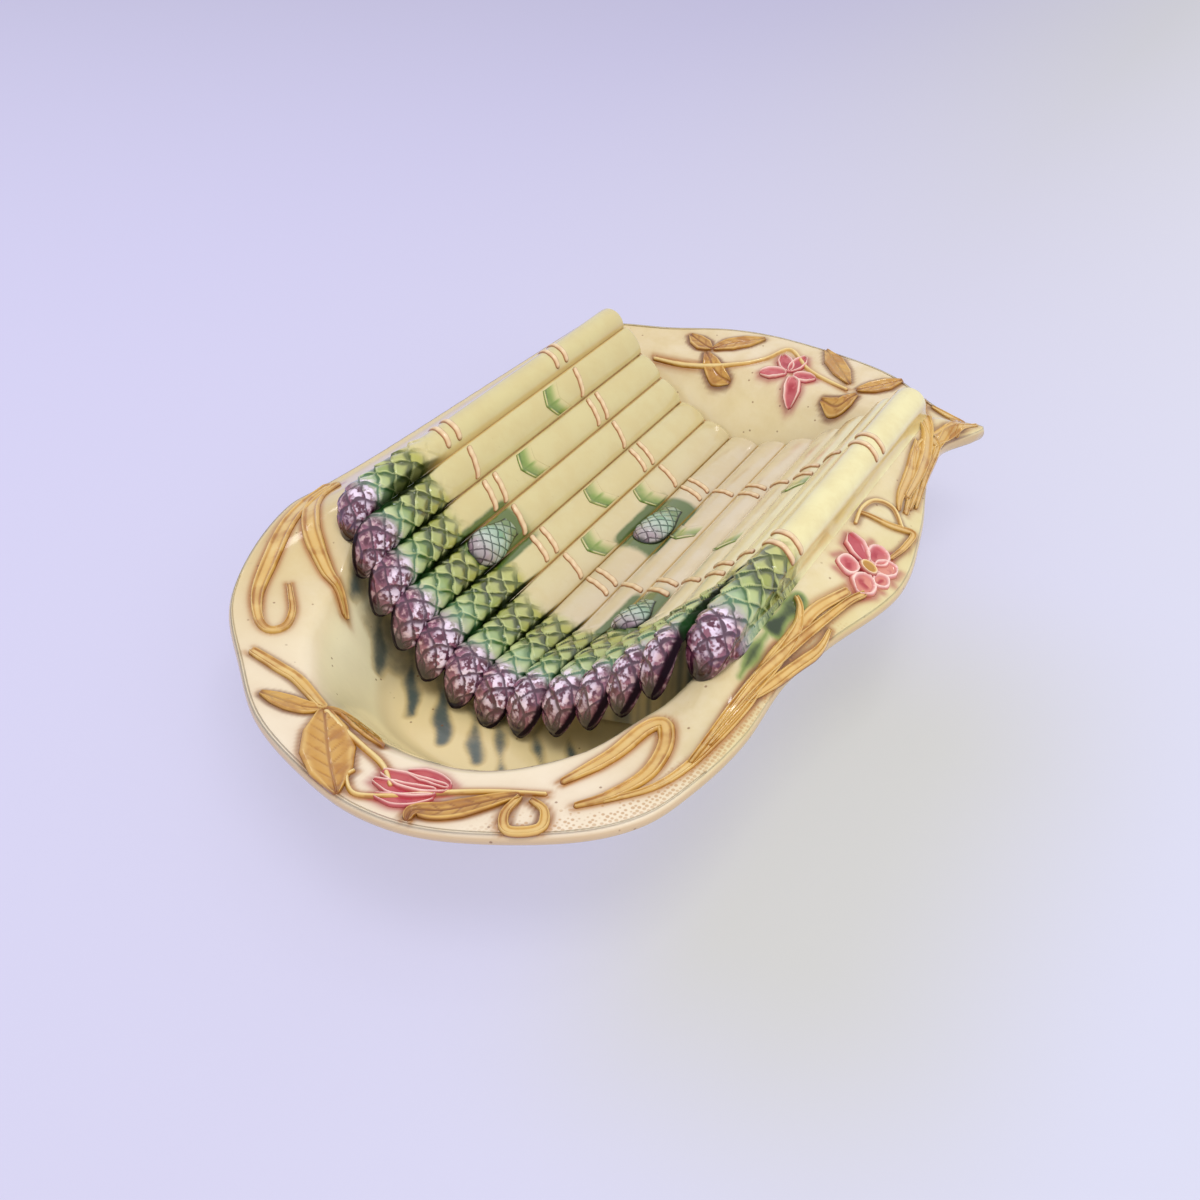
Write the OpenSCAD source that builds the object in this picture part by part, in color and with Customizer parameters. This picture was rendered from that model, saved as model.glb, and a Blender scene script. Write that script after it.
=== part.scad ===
// Oval earthenware asparagus plate: a scalloped dish, a cradle of thirteen spears luted
// across its well, and sprigged leaves, reeds and flowers on the rim.
// Millimetres. X runs across the spears, +Y towards their butt ends, +Z up from the table.

/* [Dish] */
// Length over the scalloped rim
dish_l = 389; // [375:1:405]
// Width over the scalloped rim
dish_w = 254; // [248:1:266]
// Length of the well between the rim's inner edges
well_l = 336; // [328:1:344]
// Height of the well's floor above the table
floor_h = 8; // [7:0.5:10]
// Height of the rim's outer edge
rim_h = 54; // [50:0.5:58]
// Height of the rim's inner edge at the two ends of the well
well_edge_h = 50; // [46:0.5:54]
// Thickness of the floor and walls
wall_t = 5; // [4:0.25:6.5]
// Depth of the rolled lip at the rim's outer edge
lip_d = 6; // [5:0.25:8]

/* [Foot ring] */
// Length of the foot ring
foot_l = 188; // [150:1:200]
// Width of the foot ring
foot_w = 90; // [70:1:100]
// Thickness of the foot ring
foot_t = 6; // [4:0.5:9]

/* [Cradle] */
// Width of one spear, groove to groove
spear_pitch = 16.8; // [16.2:0.1:17.2]
// Height of the lowest groove
keel_h = 20.7; // [19:0.1:23]
// Radius of the round outer spear on each flank
roll_r = 8.5; // [8:0.1:9]
// Distance from the middle of the dish to the butt ends
butt_y = 133.6; // [128:0.5:136]
// Thickness of the saddle that carries the spears
saddle_t = 5; // [4:0.25:6]
// Distance from the middle of the dish to the saddle's front edge, on the centre line
saddle_front = 82; // [76:0.5:86]
// How far the front edge draws back at the outer spears
saddle_bow = 26; // [20:0.5:30]

/* [Spears] */
// Crown of a shaft above its grooves
shaft_crown = 3; // [2:0.25:4]
// Distance from the middle of the dish to the longest tip
tip_y = 100; // [96:0.5:104]
// How far the tips draw back at the outer spears
tip_bow = 12; // [8:0.5:16]
// Length of a scaled head
head_l = 58; // [50:1:64]
// Crown of a head above the grooves
head_crown = 7; // [5:0.25:8.5]
// Drop of a tip over the saddle's front edge
tip_droop = 12; // [9:0.5:13]
// Length of a loose short head laid on the cradle
loose_l = 36; // [30:1:40]

/* [Binding] */
// Place of the rear binding along the cradle
rear_band_y = 76; // [70:0.5:82]
// Place of the front binding, in front of the middle
front_band_y = 13; // [9:0.5:18]
// Width of one strand of the twine
twine_w = 2.4; // [1.8:0.1:3]
// Rise of a strand above the shaft
twine_h = 1.1; // [0.8:0.1:1.6]
// Distance between the two strands of a double turn
twine_gap = 8; // [6:0.5:10]

/* [Sprigged relief] */
// Rise of a leaf's midrib above the rim
leaf_h = 2.4; // [1.6:0.1:3.2]
// Rise of a reed or stem above the rim
reed_h = 2.2; // [1.6:0.1:3]
// Width of a reed
reed_w = 4.2; // [3:0.1:5.5]
// Width of a thin stem or tendril
stem_w = 3; // [2.2:0.1:4]
// Spread of the open flower across its petals
flower_d = 34; // [30:0.5:38]
// Rise of the petals above the rim
petal_h = 3.6; // [2.5:0.1:4.5]

/* [Hidden] */

// Gap that the joins of the clay parts leave
seat = 0.3;
// Least thickness of a feathered edge
feather = 0.4;
eps = 0.01;

cream = "#e6d9ae";
caramel = "#c08a3e";
twine_pink = "#c9a183";
leaf_green = "#7f9a5a";
petal_pink = "#c9747c";
centre_yellow = "#cfa347";

// Shares of half the dish's width and length, anticlockwise from the front
outline_shares = [[0.13, -1], [0.35, -0.97], [0.62, -0.87], [0.77, -0.77], [0.835, -0.65],
    [0.87, -0.5], [0.865, -0.32], [0.91, -0.17], [1, 0.06], [0.945, 0.29], [0.85, 0.51],
    [0.83, 0.67], [0.92, 0.8], [0.81, 0.805], [0.65, 0.865], [0.47, 0.945], [0.24, 0.985],
    [-0.08, 1], [-0.31, 0.97], [-0.54, 0.89], [-0.74, 0.84], [-0.88, 0.78], [-0.9, 0.68],
    [-0.92, 0.41], [-0.955, -0.07], [-0.985, -0.28], [-1, -0.39], [-0.92, -0.555],
    [-0.775, -0.71], [-0.55, -0.83], [-0.34, -0.925], [-0.09, -0.98]];
// Shares of the well's half width and half length on the right, front to back
well_shares = [[0, -1], [0.4, -0.955], [0.68, -0.8], [0.8, -0.62], [0.9, -0.46], [1, -0.31],
    [1, 0], [1, 0.45], [1, 0.8], [0.88, 0.885], [0.5, 0.93], [0, 0.95]];
// The floor's outline as a share of the well's
floor_share = 0.76;
// Spline steps between two outline points
spline_steps = 6;
// Directions in which the dish is lofted, and rings across its well wall and rim
dish_steps = 90;
wall_rings = 6;
rim_rings = 4;

// Tilt of each spear from the middle outwards, in degrees
flank_tilts = [0, 21, 24, 41, 41, 52];
function groove_x(k) = k == 0 ? spear_pitch / 2
    : groove_x(k - 1) + spear_pitch * cos(flank_tilts[k]);
function groove_z(k) = k == 0 ? keel_h : groove_z(k - 1) + spear_pitch * sin(flank_tilts[k]);
outer_groove = len(flank_tilts) - 1;
roll_x = groove_x(outer_groove) + roll_r;
roll_z = groove_z(outer_groove);
// The rim shoulders up to the outer spears
seat_h = roll_z - roll_r / 2;
shoulder_h = seat_h - seat;
well_half_w = roll_x + roll_r + 6 * seat;

// Closed spline through the points
function spline_pt(a, b, c, d, t) = 0.5 * (2 * b + (c - a) * t
    + (2 * a - 5 * b + 4 * c - d) * t * t + (3 * b - a - 3 * c + d) * t * t * t);
function spline(pts) = let (n = len(pts)) [for (i = [0:n - 1], s = [0:spline_steps - 1])
    spline_pt(pts[(i + n - 1) % n], pts[i], pts[(i + 1) % n], pts[(i + 2) % n],
        s / spline_steps)];
// Open spline through the points, with its ends held
function open_spline(pts, steps = 5) = let (n = len(pts)) concat([for (i = [0:n - 2],
    s = [0:steps - 1]) spline_pt(pts[max(i - 1, 0)], pts[i], pts[i + 1],
        pts[min(i + 2, n - 1)], s / steps)], [pts[n - 1]]);

outline = spline([for (p = outline_shares) [p[0] * dish_w / 2, p[1] * dish_l / 2]]);
well_right = [for (p = well_shares) [p[0] * well_half_w, p[1] * well_l / 2]];
well_n = len(well_right);
well_edge = spline(concat(well_right,
    [for (i = [well_n - 2:-1:1]) [-well_right[i][0], well_right[i][1]]]));

// Direction of a point from the middle of the dish, counted on from the front
function bearing(p) = (atan2(p[1], p[0]) + 450) % 360;
function radius_table(pts) =
    let (n = len(pts), turns = [for (p = pts) bearing(p)],
         first = search(min(turns), turns)[0],
         ring = [for (i = [0:n - 1]) let (p = pts[(first + i) % n]) [bearing(p), norm(p)]])
    concat([[ring[n - 1][0] - 360, ring[n - 1][1]]], ring, [[ring[0][0] + 360, ring[0][1]]]);
rim_table = radius_table(outline);
well_table = radius_table(well_edge);
function rim_r(a) = lookup(a % 360, rim_table);
function well_r(a) = lookup(a % 360, well_table);
function ease(t) = let (u = min(max(t, 0), 1)) u * u * (3 - 2 * u);

// The shoulder rises where the outer spears lie, and fades towards the two ends
shoulder_rise = 40;
shoulder_fall = 22;
shoulder_past = 18;
shoulder_start = saddle_front + shoulder_past;
shoulder_end = butt_y + shoulder_past;
function inner_h(y) = well_edge_h + (shoulder_h - well_edge_h)
    * ease((y + shoulder_start) / shoulder_rise) * ease((shoulder_end - y) / shoulder_fall);

// Height of the dish's top face at a point
function dish_z(p) =
    let (a = bearing(p), r = norm(p), ri = well_r(a), ro = rim_r(a),
         hi = inner_h(-ri * cos(a)), t = (r - ri) / (ro - ri))
    r <= ri ? floor_h + (hi - floor_h) * ease((r / ri - floor_share) / (1 - floor_share))
        : hi + (rim_h - hi) * (hi > rim_h ? ease(t) : min(t, 1));
// A place on the dish, from its bearing and its share of the way across the rim;
// a share below zero lies inside the well
function rim_place(a, t) =
    let (ri = well_r(a), r = t < 0 ? ri * (1 + t) : ri + t * (rim_r(a) - ri))
    [r * sin(a), -r * cos(a)];

// Solid through a stack of like rings, closed with a flat cap at each end. The stack is
// turned over where its first ring runs clockwise about the way to the second
function centroid(r) = [for (j = [0:2]) sum([for (p = r) p[j]]) / len(r)];
function sum(v) = v * [for (x = v) 1];
function ring_normal(r) = let (n = len(r), c = centroid(r),
    t = [for (i = [0:n - 1]) cross(r[i] - c, r[(i + 1) % n] - c)])
    [for (j = [0:2]) sum([for (p = t) p[j]])];
module loft(stack) {
    turned = ring_normal(stack[0]) * (centroid(stack[1]) - centroid(stack[0])) < 0;
    m = len(stack);
    n = len(stack[0]);
    rings = turned ? [for (i = [m - 1:-1:0]) stack[i]] : stack;
    polyhedron(points = [for (r = rings) each r],
        faces = concat([[for (i = [0:n - 1]) i]],
            [for (j = [0:m - 2], i = [0:n - 1])
                [j * n + i, (j + 1) * n + i, (j + 1) * n + (i + 1) % n]],
            [for (j = [0:m - 2], i = [0:n - 1])
                [j * n + i, (j + 1) * n + (i + 1) % n, j * n + (i + 1) % n]],
            [[for (i = [n - 1:-1:0]) (m - 1) * n + i]]));
}

// The dish: one loft that runs from the middle of its underside out round the lip
// and back over the top to the middle of the floor
function dish_ring(share) = [for (i = [0:dish_steps - 1])
    let (a = i * 360 / dish_steps, q = rim_place(a, share)) [q[0], q[1], dish_z(q)]];
function lip_ring(share) = [for (i = [0:dish_steps - 1])
    let (q = rim_place(i * 360 / dish_steps, 1)) [q[0], q[1], rim_h - lip_d * share]];
under_z = floor_h - wall_t;
// Part of the rim's width that the rolled lip takes up
lip_share = 0.12;
// Heights of the lip's two edge rings below the rim, as shares of its depth
lip_round_shares = [0.7, 0.25];
under_shares = concat([for (i = [0:wall_rings]) (floor_share - 1) * (1 - i / wall_rings)],
    [for (i = [1:rim_rings]) (1 - lip_share) * i / rim_rings]);
function under_ring(share) = [for (i = [0:dish_steps - 1])
    let (a = i * 360 / dish_steps, q = rim_place(a, share),
         s = share <= 0 ? ease(1 - share / (floor_share - 1)) : 1)
    [q[0], q[1], max(dish_z(q) - wall_t - s * (lip_d - wall_t), under_z)]];

module dish() {
    color(cream) loft(concat(
        [[for (i = [0:dish_steps - 1]) let (q = rim_place(i * 360 / dish_steps,
            floor_share - 1 - wall_t / well_l)) [q[0], q[1], under_z]]],
        [for (s = under_shares) under_ring(s)],
        [for (s = lip_round_shares) lip_ring(s)],
        [for (i = [rim_rings:-1:1]) dish_ring(i == rim_rings ? 1 - lip_share : i / rim_rings)],
        [for (i = [wall_rings:-1:0]) dish_ring((floor_share - 1) * (1 - i / wall_rings))]));
}

// Foot ring: an oval strip of clay under the floor
module oval(l, w) {
    translate([0, (l - w) / 2]) circle(d = w, $fn = 64);
    translate([0, -(l - w) / 2]) circle(d = w, $fn = 64);
    square([w, l - w], center = true);
}

module foot_ring() {
    color(cream) linear_extrude(under_z) difference() {
        oval(foot_l, foot_w);
        oval(foot_l - 2 * foot_t, foot_w - 2 * foot_t);
    }
}

// Saddle: a bent sheet under the spears, with a flat ledge for each outer spear
ledge_out = roll_x + roll_r - 2 * seat;
ledge_in = groove_x(outer_groove);
ledge_foot = shoulder_h - 3 * seat;
function lean(k) = (flank_tilts[k] + flank_tilts[min(k + 1, outer_groove)]) / 2;
function sheet_under(k) = [groove_x(k) + saddle_t * sin(lean(k)),
    groove_z(k) - saddle_t * cos(lean(k))];
saddle_right = concat([for (k = [0:outer_groove]) [groove_x(k), groove_z(k)]],
    [[ledge_in, seat_h], [ledge_out, seat_h], [ledge_out, ledge_foot],
     [ledge_in + saddle_t, ledge_foot - saddle_t]],
    [for (k = [outer_groove - 1:-1:0]) sheet_under(k)]);
function mirrored(pts) = [for (i = [len(pts) - 1:-1:0]) [-pts[i][0], pts[i][1]]];

// The saddle stops against the back wall
saddle_back = butt_y - wall_t;
bow_r = (roll_x * roll_x + saddle_bow * saddle_bow) / (2 * saddle_bow);
function edge_y(x) = -saddle_front + bow_r - sqrt(bow_r * bow_r - x * x);
module bow_plan() {
    translate([0, bow_r - saddle_front, 0]) cylinder(h = 2 * roll_z, r = bow_r, $fn = 120);
}

module saddle() {
    color(cream) intersection() {
        translate([0, saddle_back, 0]) rotate([90, 0, 0])
            linear_extrude(saddle_back + saddle_front)
                polygon(concat(saddle_right, mirrored(saddle_right)));
        bow_plan();
    }
}

// Heights of the saddle's underside and of its top across the cradle
wall_half = ledge_in + saddle_t;
under_table = concat([[0, keel_h - saddle_t]], [for (k = [0:outer_groove - 1]) sheet_under(k)],
    [[wall_half, ledge_foot - saddle_t], [ledge_out, ledge_foot]]);
top_table = concat([[0, keel_h]], [for (k = [0:outer_groove - 1]) [groove_x(k), groove_z(k)]],
    [[wall_half, seat_h], [ledge_out, seat_h]]);

// Closing walls between the cradle and the dish. The front one stands under the saddle's
// edge; the back one carries the butt ends
wall_cuts = 3;
function stations(table) = let (n = len(table), half = [for (i = [0:n - 2], s = [1:wall_cuts])
    table[i][0] + (table[i + 1][0] - table[i][0]) * s / wall_cuts])
    concat([for (i = [len(half) - 1:-1:0]) -half[i]], [0], half);
module closing_wall(table, is_front) {
    loft([for (x = stations(table)) let (
        y0 = is_front ? edge_y(x) + seat : saddle_back + seat,
        y1 = is_front ? edge_y(x) + wall_t : butt_y,
        top = lookup(abs(x), table) - seat,
        f0 = min(dish_z([x, y0]) + 3 * seat, top - feather),
        f1 = min(dish_z([x, y1]) + 3 * seat, top - feather))
        [[x, y0, f0], [x, y0, top], [x, y1, top], [x, y1, f1]]]);
}
module front_skirt() { color(cream) closing_wall(under_table, true); }
module back_wall() { color(cream) closing_wall(top_table, false); }

// Spears. Each has a shaft with a low crown, then a fuller scaled head that droops
// over the saddle's front edge
spear_n = 13;
middle = 6;
function side(i) = i < middle ? -1 : 1;
function chord_in(m) = m == 0 ? [-groove_x(0), groove_z(0)] : [groove_x(m - 1), groove_z(m - 1)];
function chord_out(m) = [groove_x(m), groove_z(m)];
function chord_mid(m) = m == middle ? roll_x : (chord_in(m)[0] + chord_out(m)[0]) / 2;
// How far single tips stand back from the bow, as shares of a head's length
tip_back_shares = [0.02, 0, 0, 0, 0, 0, 0, 0, 0.03, 0.06, 0.07, 0.06, 0.2];
function tip_at(i) = let (x = chord_mid(abs(i - middle)))
    -tip_y + tip_bow * x * x / (roll_x * roll_x) + tip_back_shares[i] * head_l;
shaft_rings = 4;
head_rings = 8;
ring_sides = 8;

// A head's nose rounds over a share of its length, and it swells over a share from the shaft
nose_share = 0.24;
swell_share = 0.6;
// Depth of the head's belly, past the saddle's edge, and bluntness of its tip
belly_share = 0.8;
blunt_share = 0.05;
function nose(s) = sqrt(1 - pow(max(1 - s / nose_share, 0), 2));
function crown_at(i, y) = abs(i - middle) == middle ? roll_r : shaft_crown
    + (head_crown - shaft_crown) * ease((tip_at(i) + head_l - y) / head_l / swell_share);
function spear_ring(mid, along, up, w, crown, deep, y, drop, x_sign) =
    [for (j = [0:2 * ring_sides - 1]) let (a = j * 180 / ring_sides, c = w * cos(a),
        h = sin(a) >= 0 ? crown * sin(a) : deep * sin(a),
        q = mid + c * along + h * up, x = x_sign * q[0], z = q[1] - drop)
        [x, y, max(z, dish_z([x, y]) + seat + feather * max(sin(a), 0))]];
module spear(i) {
    m = abs(i - middle);
    outer = m == middle;
    a = outer ? [roll_x - roll_r, roll_z] : chord_in(m);
    b = outer ? [roll_x + roll_r, roll_z] : chord_out(m);
    mid = (a + b) / 2;
    along = (b - a) / norm(b - a);
    up = [-along[1], along[0]];
    half = norm(b - a) / 2 - seat / 4;
    tip = tip_at(i);
    neck = tip + head_l;
    bend = min(edge_y(max(mid[0] - half, 0)) - seat, tip + nose_share * head_l);
    shaft_d = outer ? roll_r / 2 : 0;
    ys = concat([butt_y], [for (j = [0:shaft_rings]) neck - (neck - bend) * j / shaft_rings],
        [for (j = [1:head_rings]) bend - (bend - tip) * sqrt(j / head_rings)]);
    color(cream) loft([for (y = ys) let (s = (y - tip) / head_l, past = max(bend - y, 0)
        / (bend - tip), round = min(nose(s) + blunt_share, 1),
        w = s >= 1 ? half : (half - seat) * round,
        crown = crown_at(i, y) * round,
        deep = outer ? shaft_d * round : past * head_crown * belly_share * round)
        spear_ring(mid, along, up, w, crown, deep, y, tip_droop * past * past, side(i))]);
}

// Top of a spear at a place across it and along the cradle, for what lies on it
function spear_top(i, c, y) = let (m = abs(i - middle), outer = m == middle,
    a = outer ? [roll_x - roll_r, roll_z] : chord_in(m),
    b = outer ? [roll_x + roll_r, roll_z] : chord_out(m),
    along = (b - a) / norm(b - a), up = [-along[1], along[0]], half = norm(b - a) / 2,
    crown = crown_at(i, y))
    [(a + b) / 2 + half * cos(c) * along + crown * sin(c) * up, cos(c) * along + sin(c) * up];

// Short heads laid on the cradle, each on one spear: the spear, the tip's place as a share
// of the butt's distance, and the head's length and rise as shares of the longest one's length
loose_shares = [[3, -0.352, 0.84, 0.11], [6, 0.172, 0.97, 0.07], [8, -0.37, 0.65, 0.085]];
loose_nose_share = 0.5;
loose_taper_share = 0.55;
loose_spread = 72;
loose_rings = 8;
loose_sides = 4;
module loose_head(k) {
    i = loose_shares[k][0];
    tip = loose_shares[k][1] * butt_y;
    long = loose_shares[k][2] * loose_l;
    rise = loose_shares[k][3] * loose_l;
    color(leaf_green) loft([for (j = [0:loose_rings]) let (s = (j + 0.15) / (loose_rings + 0.3),
        w = sqrt(1 - pow(1 - min(s / loose_nose_share, 1), 2))
            * (1 - loose_taper_share * max(s - loose_nose_share, 0) / loose_nose_share),
        y = tip + s * long)
        concat([for (n = [-loose_sides:loose_sides]) let (c = 90 - loose_spread * w * n / loose_sides,
            p = spear_top(i, c, y),
            q = p[0] + (seat + feather + rise * w * cos(90 * n / loose_sides)) * p[1])
            [side(i) * q[0], y, q[1]]],
            [for (n = [loose_sides:-1:-loose_sides]) let (c = 90 - loose_spread * w * n / loose_sides,
                p = spear_top(i, c, y), q = p[0] + seat * p[1]) [side(i) * q[0], y, q[1]]])]);
}

// Binding: single and double strands of twine, lying aslant over each shaft
twine_slant = twine_w * 1.2;
strand_steps = 7;
module strand(i, y) {
    lo = abs(i - middle) == middle ? 12 : 28;
    hi = abs(i - middle) == middle ? 150 : 152;
    loft([for (j = [0:strand_steps]) let (c = lo + (hi - lo) * j / strand_steps,
        p = spear_top(i, c, y), y0 = y + twine_slant * (j / strand_steps - 0.5) * side(i),
        q0 = p[0] + seat * p[1], q1 = p[0] + (seat + twine_h) * p[1])
        [[side(i) * q0[0], y0 - twine_w / 2, q0[1]], [side(i) * q1[0], y0 - twine_w / 4, q1[1]],
         [side(i) * q1[0], y0 + twine_w / 4, q1[1]], [side(i) * q0[0], y0 + twine_w / 2, q0[1]]]]);
}
module binding(y) {
    color(twine_pink) for (i = [0:spear_n - 1]) {
        if (i % 2 == 0) {
            strand(i, y - twine_gap / 2);
            strand(i, y + twine_gap / 2);
        } else {
            strand(i, y);
        }
    }
}
module front_binding() { binding(-front_band_y); }
module rear_binding() { binding(rear_band_y); }

// Small bud scales on the shafts: each has its spear and its share of the butt's distance
scale_l = 9;
scale_places = [[1, 0.37], [2, 0.08], [4, 0.22], [5, 0.02], [5, 0.38], [7, 0.24], [9, 0.12],
    [10, 0.44]];
scale_spread = 40;

module bud_scales() {
    color(leaf_green) for (p = scale_places) loft([for (j = [0:4]) let (s = j / 4,
        w = scale_spread * (0.1 + 0.9 * s), y = p[1] * butt_y + s * scale_l)
        [for (k = [1, 0, -1, 2]) let (t = spear_top(p[0], k == 2 ? 90 : 90 + w * k, y),
            h = seat + (k == 2 ? twine_h * (1 - 0.6 * s) : 0), q = t[0] + h * t[1])
            [side(p[0]) * q[0], y, q[1]]]]);
}

// Relief on the rim. A stem or reed is a half round strip along a spline through places,
// each given by its bearing and its share of the way across the rim
function path_side(path, j) = let (n = len(path), d = path[min(j + 1, n - 1)]
    - path[max(j - 1, 0)]) [-d[1], d[0]] / max(norm(d), eps);
module strip(places, w, h, low = seat) {
    path = open_spline([for (p = places) rim_place(p[0], p[1])]);
    n = len(path);
    loft([for (j = [0:n - 1]) let (u = path_side(path, j), s = j / (n - 1),
        k = 0.25 + 0.75 * sqrt(sin(180 * min(max(s, 0.02), 0.98))),
        hw = w / 2 * k)
        concat([for (e = [-1, -0.5, 0.5, 1]) let (q = path[j] + e * hw * u)
                [q[0], q[1], dish_z(q) + low]],
            [for (e = [0.5, -0.5]) let (q = path[j] + e * hw * u)
                [q[0], q[1], dish_z(q) + low + h * k]])]);
}

// A leaf is a broad strip with a raised midrib, widest at a share of its length
leaf_steps = 9;
module leaf(places, w, h, wide = 0.45) {
    path = open_spline([for (p = places) rim_place(p[0], p[1])], steps = 4);
    n = len(path);
    loft([for (j = [0:n - 1]) let (u = path_side(path, j), s = j / (n - 1),
        k = max(s < wide ? sin(90 * s / wide) : cos(90 * (s - wide) / (1 - wide)), 0.06),
        hw = w / 2 * k)
        concat([for (e = [-1, -0.4, 0.4, 1]) let (q = path[j] + e * hw * u)
                [q[0], q[1], dish_z(q) + seat]],
            [for (e = [1, 0.45, 0, -0.45, -1]) let (q = path[j] + e * hw * u)
                [q[0], q[1], dish_z(q) + seat + (abs(e) == 1 ? feather
                    : feather + h * k * (e == 0 ? 1 : 0.62))]])]);
}

// Side flower: six pointed petals round a domed centre
flower_place = [95, 0.54];
petal_turns = [100, 55, 5, -45, -95, -160];
petal_shares = [1.1, 0.9, 0.95, 0.85, 0.9, 0.9];
centre_share = 0.24;
module petal(at, dir, inner, outer, w) {
    u = [cos(dir), sin(dir)];
    v = [-sin(dir), cos(dir)];
    loft([for (j = [0:6]) let (s = j / 6, r = inner + (outer - inner) * s,
        hw = w / 2 * max(sin(20 + 160 * pow(s, 1.2)), 0.08))
        concat([for (e = [-1, 0, 1]) let (q = at + r * u + e * hw * v)
                [q[0], q[1], dish_z(q) + seat]],
            [for (e = [1, 0.6, 0, -0.6, -1]) let (q = at + r * u + e * hw * v)
                [q[0], q[1], dish_z(q) + seat + petal_h * (abs(e) == 1 ? 0.35
                    : e == 0 ? 0.7 : 1) * (1 - 0.3 * s)]])]);
}
module side_flower_petals() {
    at = rim_place(flower_place[0], flower_place[1]);
    color(petal_pink) for (j = [0:len(petal_turns) - 1])
        petal(at, petal_turns[j], flower_d * (centre_share / 2 + 0.02),
            flower_d / 2 * petal_shares[j], flower_d * 0.27);
}
module boss(at, r, h) {
    loft([for (j = [0:4]) let (a = 18 + 16 * j) [for (k = [0:11])
        let (q = at + r * (j == 0 ? 1 : cos(a)) * [cos(30 * k), sin(30 * k)])
        [q[0], q[1], dish_z(at + (j == 0 ? 1 : 0) * (q - at)) + seat + h * (j == 0 ? 0 : sin(a))]]]);
}
module side_flower_centre() {
    color(centre_yellow) boss(rim_place(flower_place[0], flower_place[1]),
        flower_d * centre_share / 2 - seat, petal_h);
}

module front_bud() {
    color(petal_pink) for (t = [-1:1])
        leaf([[5 - t, 0.46 + 0.2 * t], [8.5, 0.4 + 0.12 * t], [11.5, 0.36 + 0.03 * t]],
            flower_d * 0.16, petal_h, 0.6);
}
module rear_flower() {
    at = rim_place(177.5, 0.18);
    color(petal_pink) {
        for (j = [0:4]) petal(at, 90 + 72 * j, flower_d * (centre_share / 2 - 0.02),
            flower_d * 0.33, flower_d * 0.22);
        boss(at, flower_d * (centre_share / 2 - 0.04), petal_h * 0.8);
    }
}

module front_spray() {
    color(caramel) {
        leaf([[349, 0.12], [346, 0.4], [343, 0.8]], reed_w * 2.4, leaf_h);
        leaf([[351.5, 0.12], [357, 0.5], [361.5, 0.92]], reed_w * 4.6, leaf_h);
        leaf([[352.5, -0.03], [356, -0.07], [360.5, -0.03]], reed_w * 2, leaf_h);
        strip([[335, 0.75], [340, 0.35], [345, 0.08], [350, 0.02]], reed_w, reed_h);
        strip([[351, 0.02], [356, 0.04], [360, 0.06], [364, 0.3]], reed_w * 0.8, reed_h);
        strip([[360, 0.3], [360.5, 0.6], [362.5, 0.8], [363.5, 0.7]], stem_w, reed_h);
    }
}
module front_tendril() {
    color(caramel) strip([[375, 0.27], [380, 0.27], [386, 0.29]], stem_w, reed_h);
}
module front_curled_leaf() {
    color(caramel) {
        leaf([[369.5, 0.85], [372, 0.68], [376, 0.52], [379.5, 0.5]], reed_w * 1.8, leaf_h);
        strip([[381, 0.5], [379.5, 0.78], [381, 0.92], [383.5, 0.84], [384, 0.58]], stem_w, reed_h);
    }
}
module left_folded_leaf() {
    color(caramel) {
        strip([[297, 0.92], [310, 0.84], [322, 0.83], [330, 0.78], [333, 0.55], [334.5, 0.25]],
            reed_w * 1.6, reed_h);
        strip([[332, 0.3], [327, 0.4], [323.5, 0.55], [321, 0.58]], reed_w * 1.3, reed_h);
    }
}
module left_long_leaf() {
    color(caramel) strip([[295, 0.72], [302, 0.62], [309, 0.45], [318, 0.18], [326, 0.0],
        [330, -0.06]], reed_w * 1.5, reed_h);
}
module right_folded_leaf() {
    color(caramel) {
        leaf([[385, 0.18], [390, 0.12], [395, 0.06], [398, 0.08]], reed_w * 2, leaf_h, 0.6);
        leaf([[386, 0.68], [391, 0.68], [396, 0.5], [397.5, 0.28]], reed_w * 2.4, leaf_h, 0.55);
    }
}
module right_reeds() {
    color(caramel) {
        strip([[389, 0.85], [396, 0.86], [405, 0.8], [412, 0.62], [422, 0.55], [436, 0.45],
            [444, 0.5]], reed_w, reed_h);
        strip([[405, 0.6], [411, 0.4], [420, 0.25], [430, 0.2], [436, 0.2]], reed_w, reed_h);
        leaf([[418, 0.8], [424, 0.86], [430, 0.8], [436, 0.74]], reed_w * 1.4, leaf_h);
        leaf([[431, 0.02], [428, 0.04], [424, 0.06], [418, 0.1]], reed_w, leaf_h);
    }
}
module reed_loops() {
    color(caramel) {
        strip([[106.5, 0.12], [113, 0.1], [117, 0.2], [118.5, 0.45], [115, 0.74]], stem_w, reed_h);
        strip([[104, 0.88], [109, 0.92], [113, 0.88]], stem_w, reed_h);
    }
}
module corner_reeds() {
    color(caramel) {
        strip([[121, 0.58], [128, 0.58], [134, 0.5], [139, 0.45], [143, 0.58]], reed_w, reed_h,
            2.5 * seat);
        strip([[121, 0.8], [128, 0.82], [135, 0.78], [140, 0.74], [143, 0.78]], reed_w, reed_h,
            2.5 * seat);
        leaf([[127, 0.32], [132, 0.28], [137, 0.24], [141, 0.22]], reed_w * 1.5, leaf_h);
        strip([[130, 0.9], [131, 0.7], [132, 0.45], [133, 0.22]], stem_w, reed_h, 2.5 * seat);
    }
}
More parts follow.
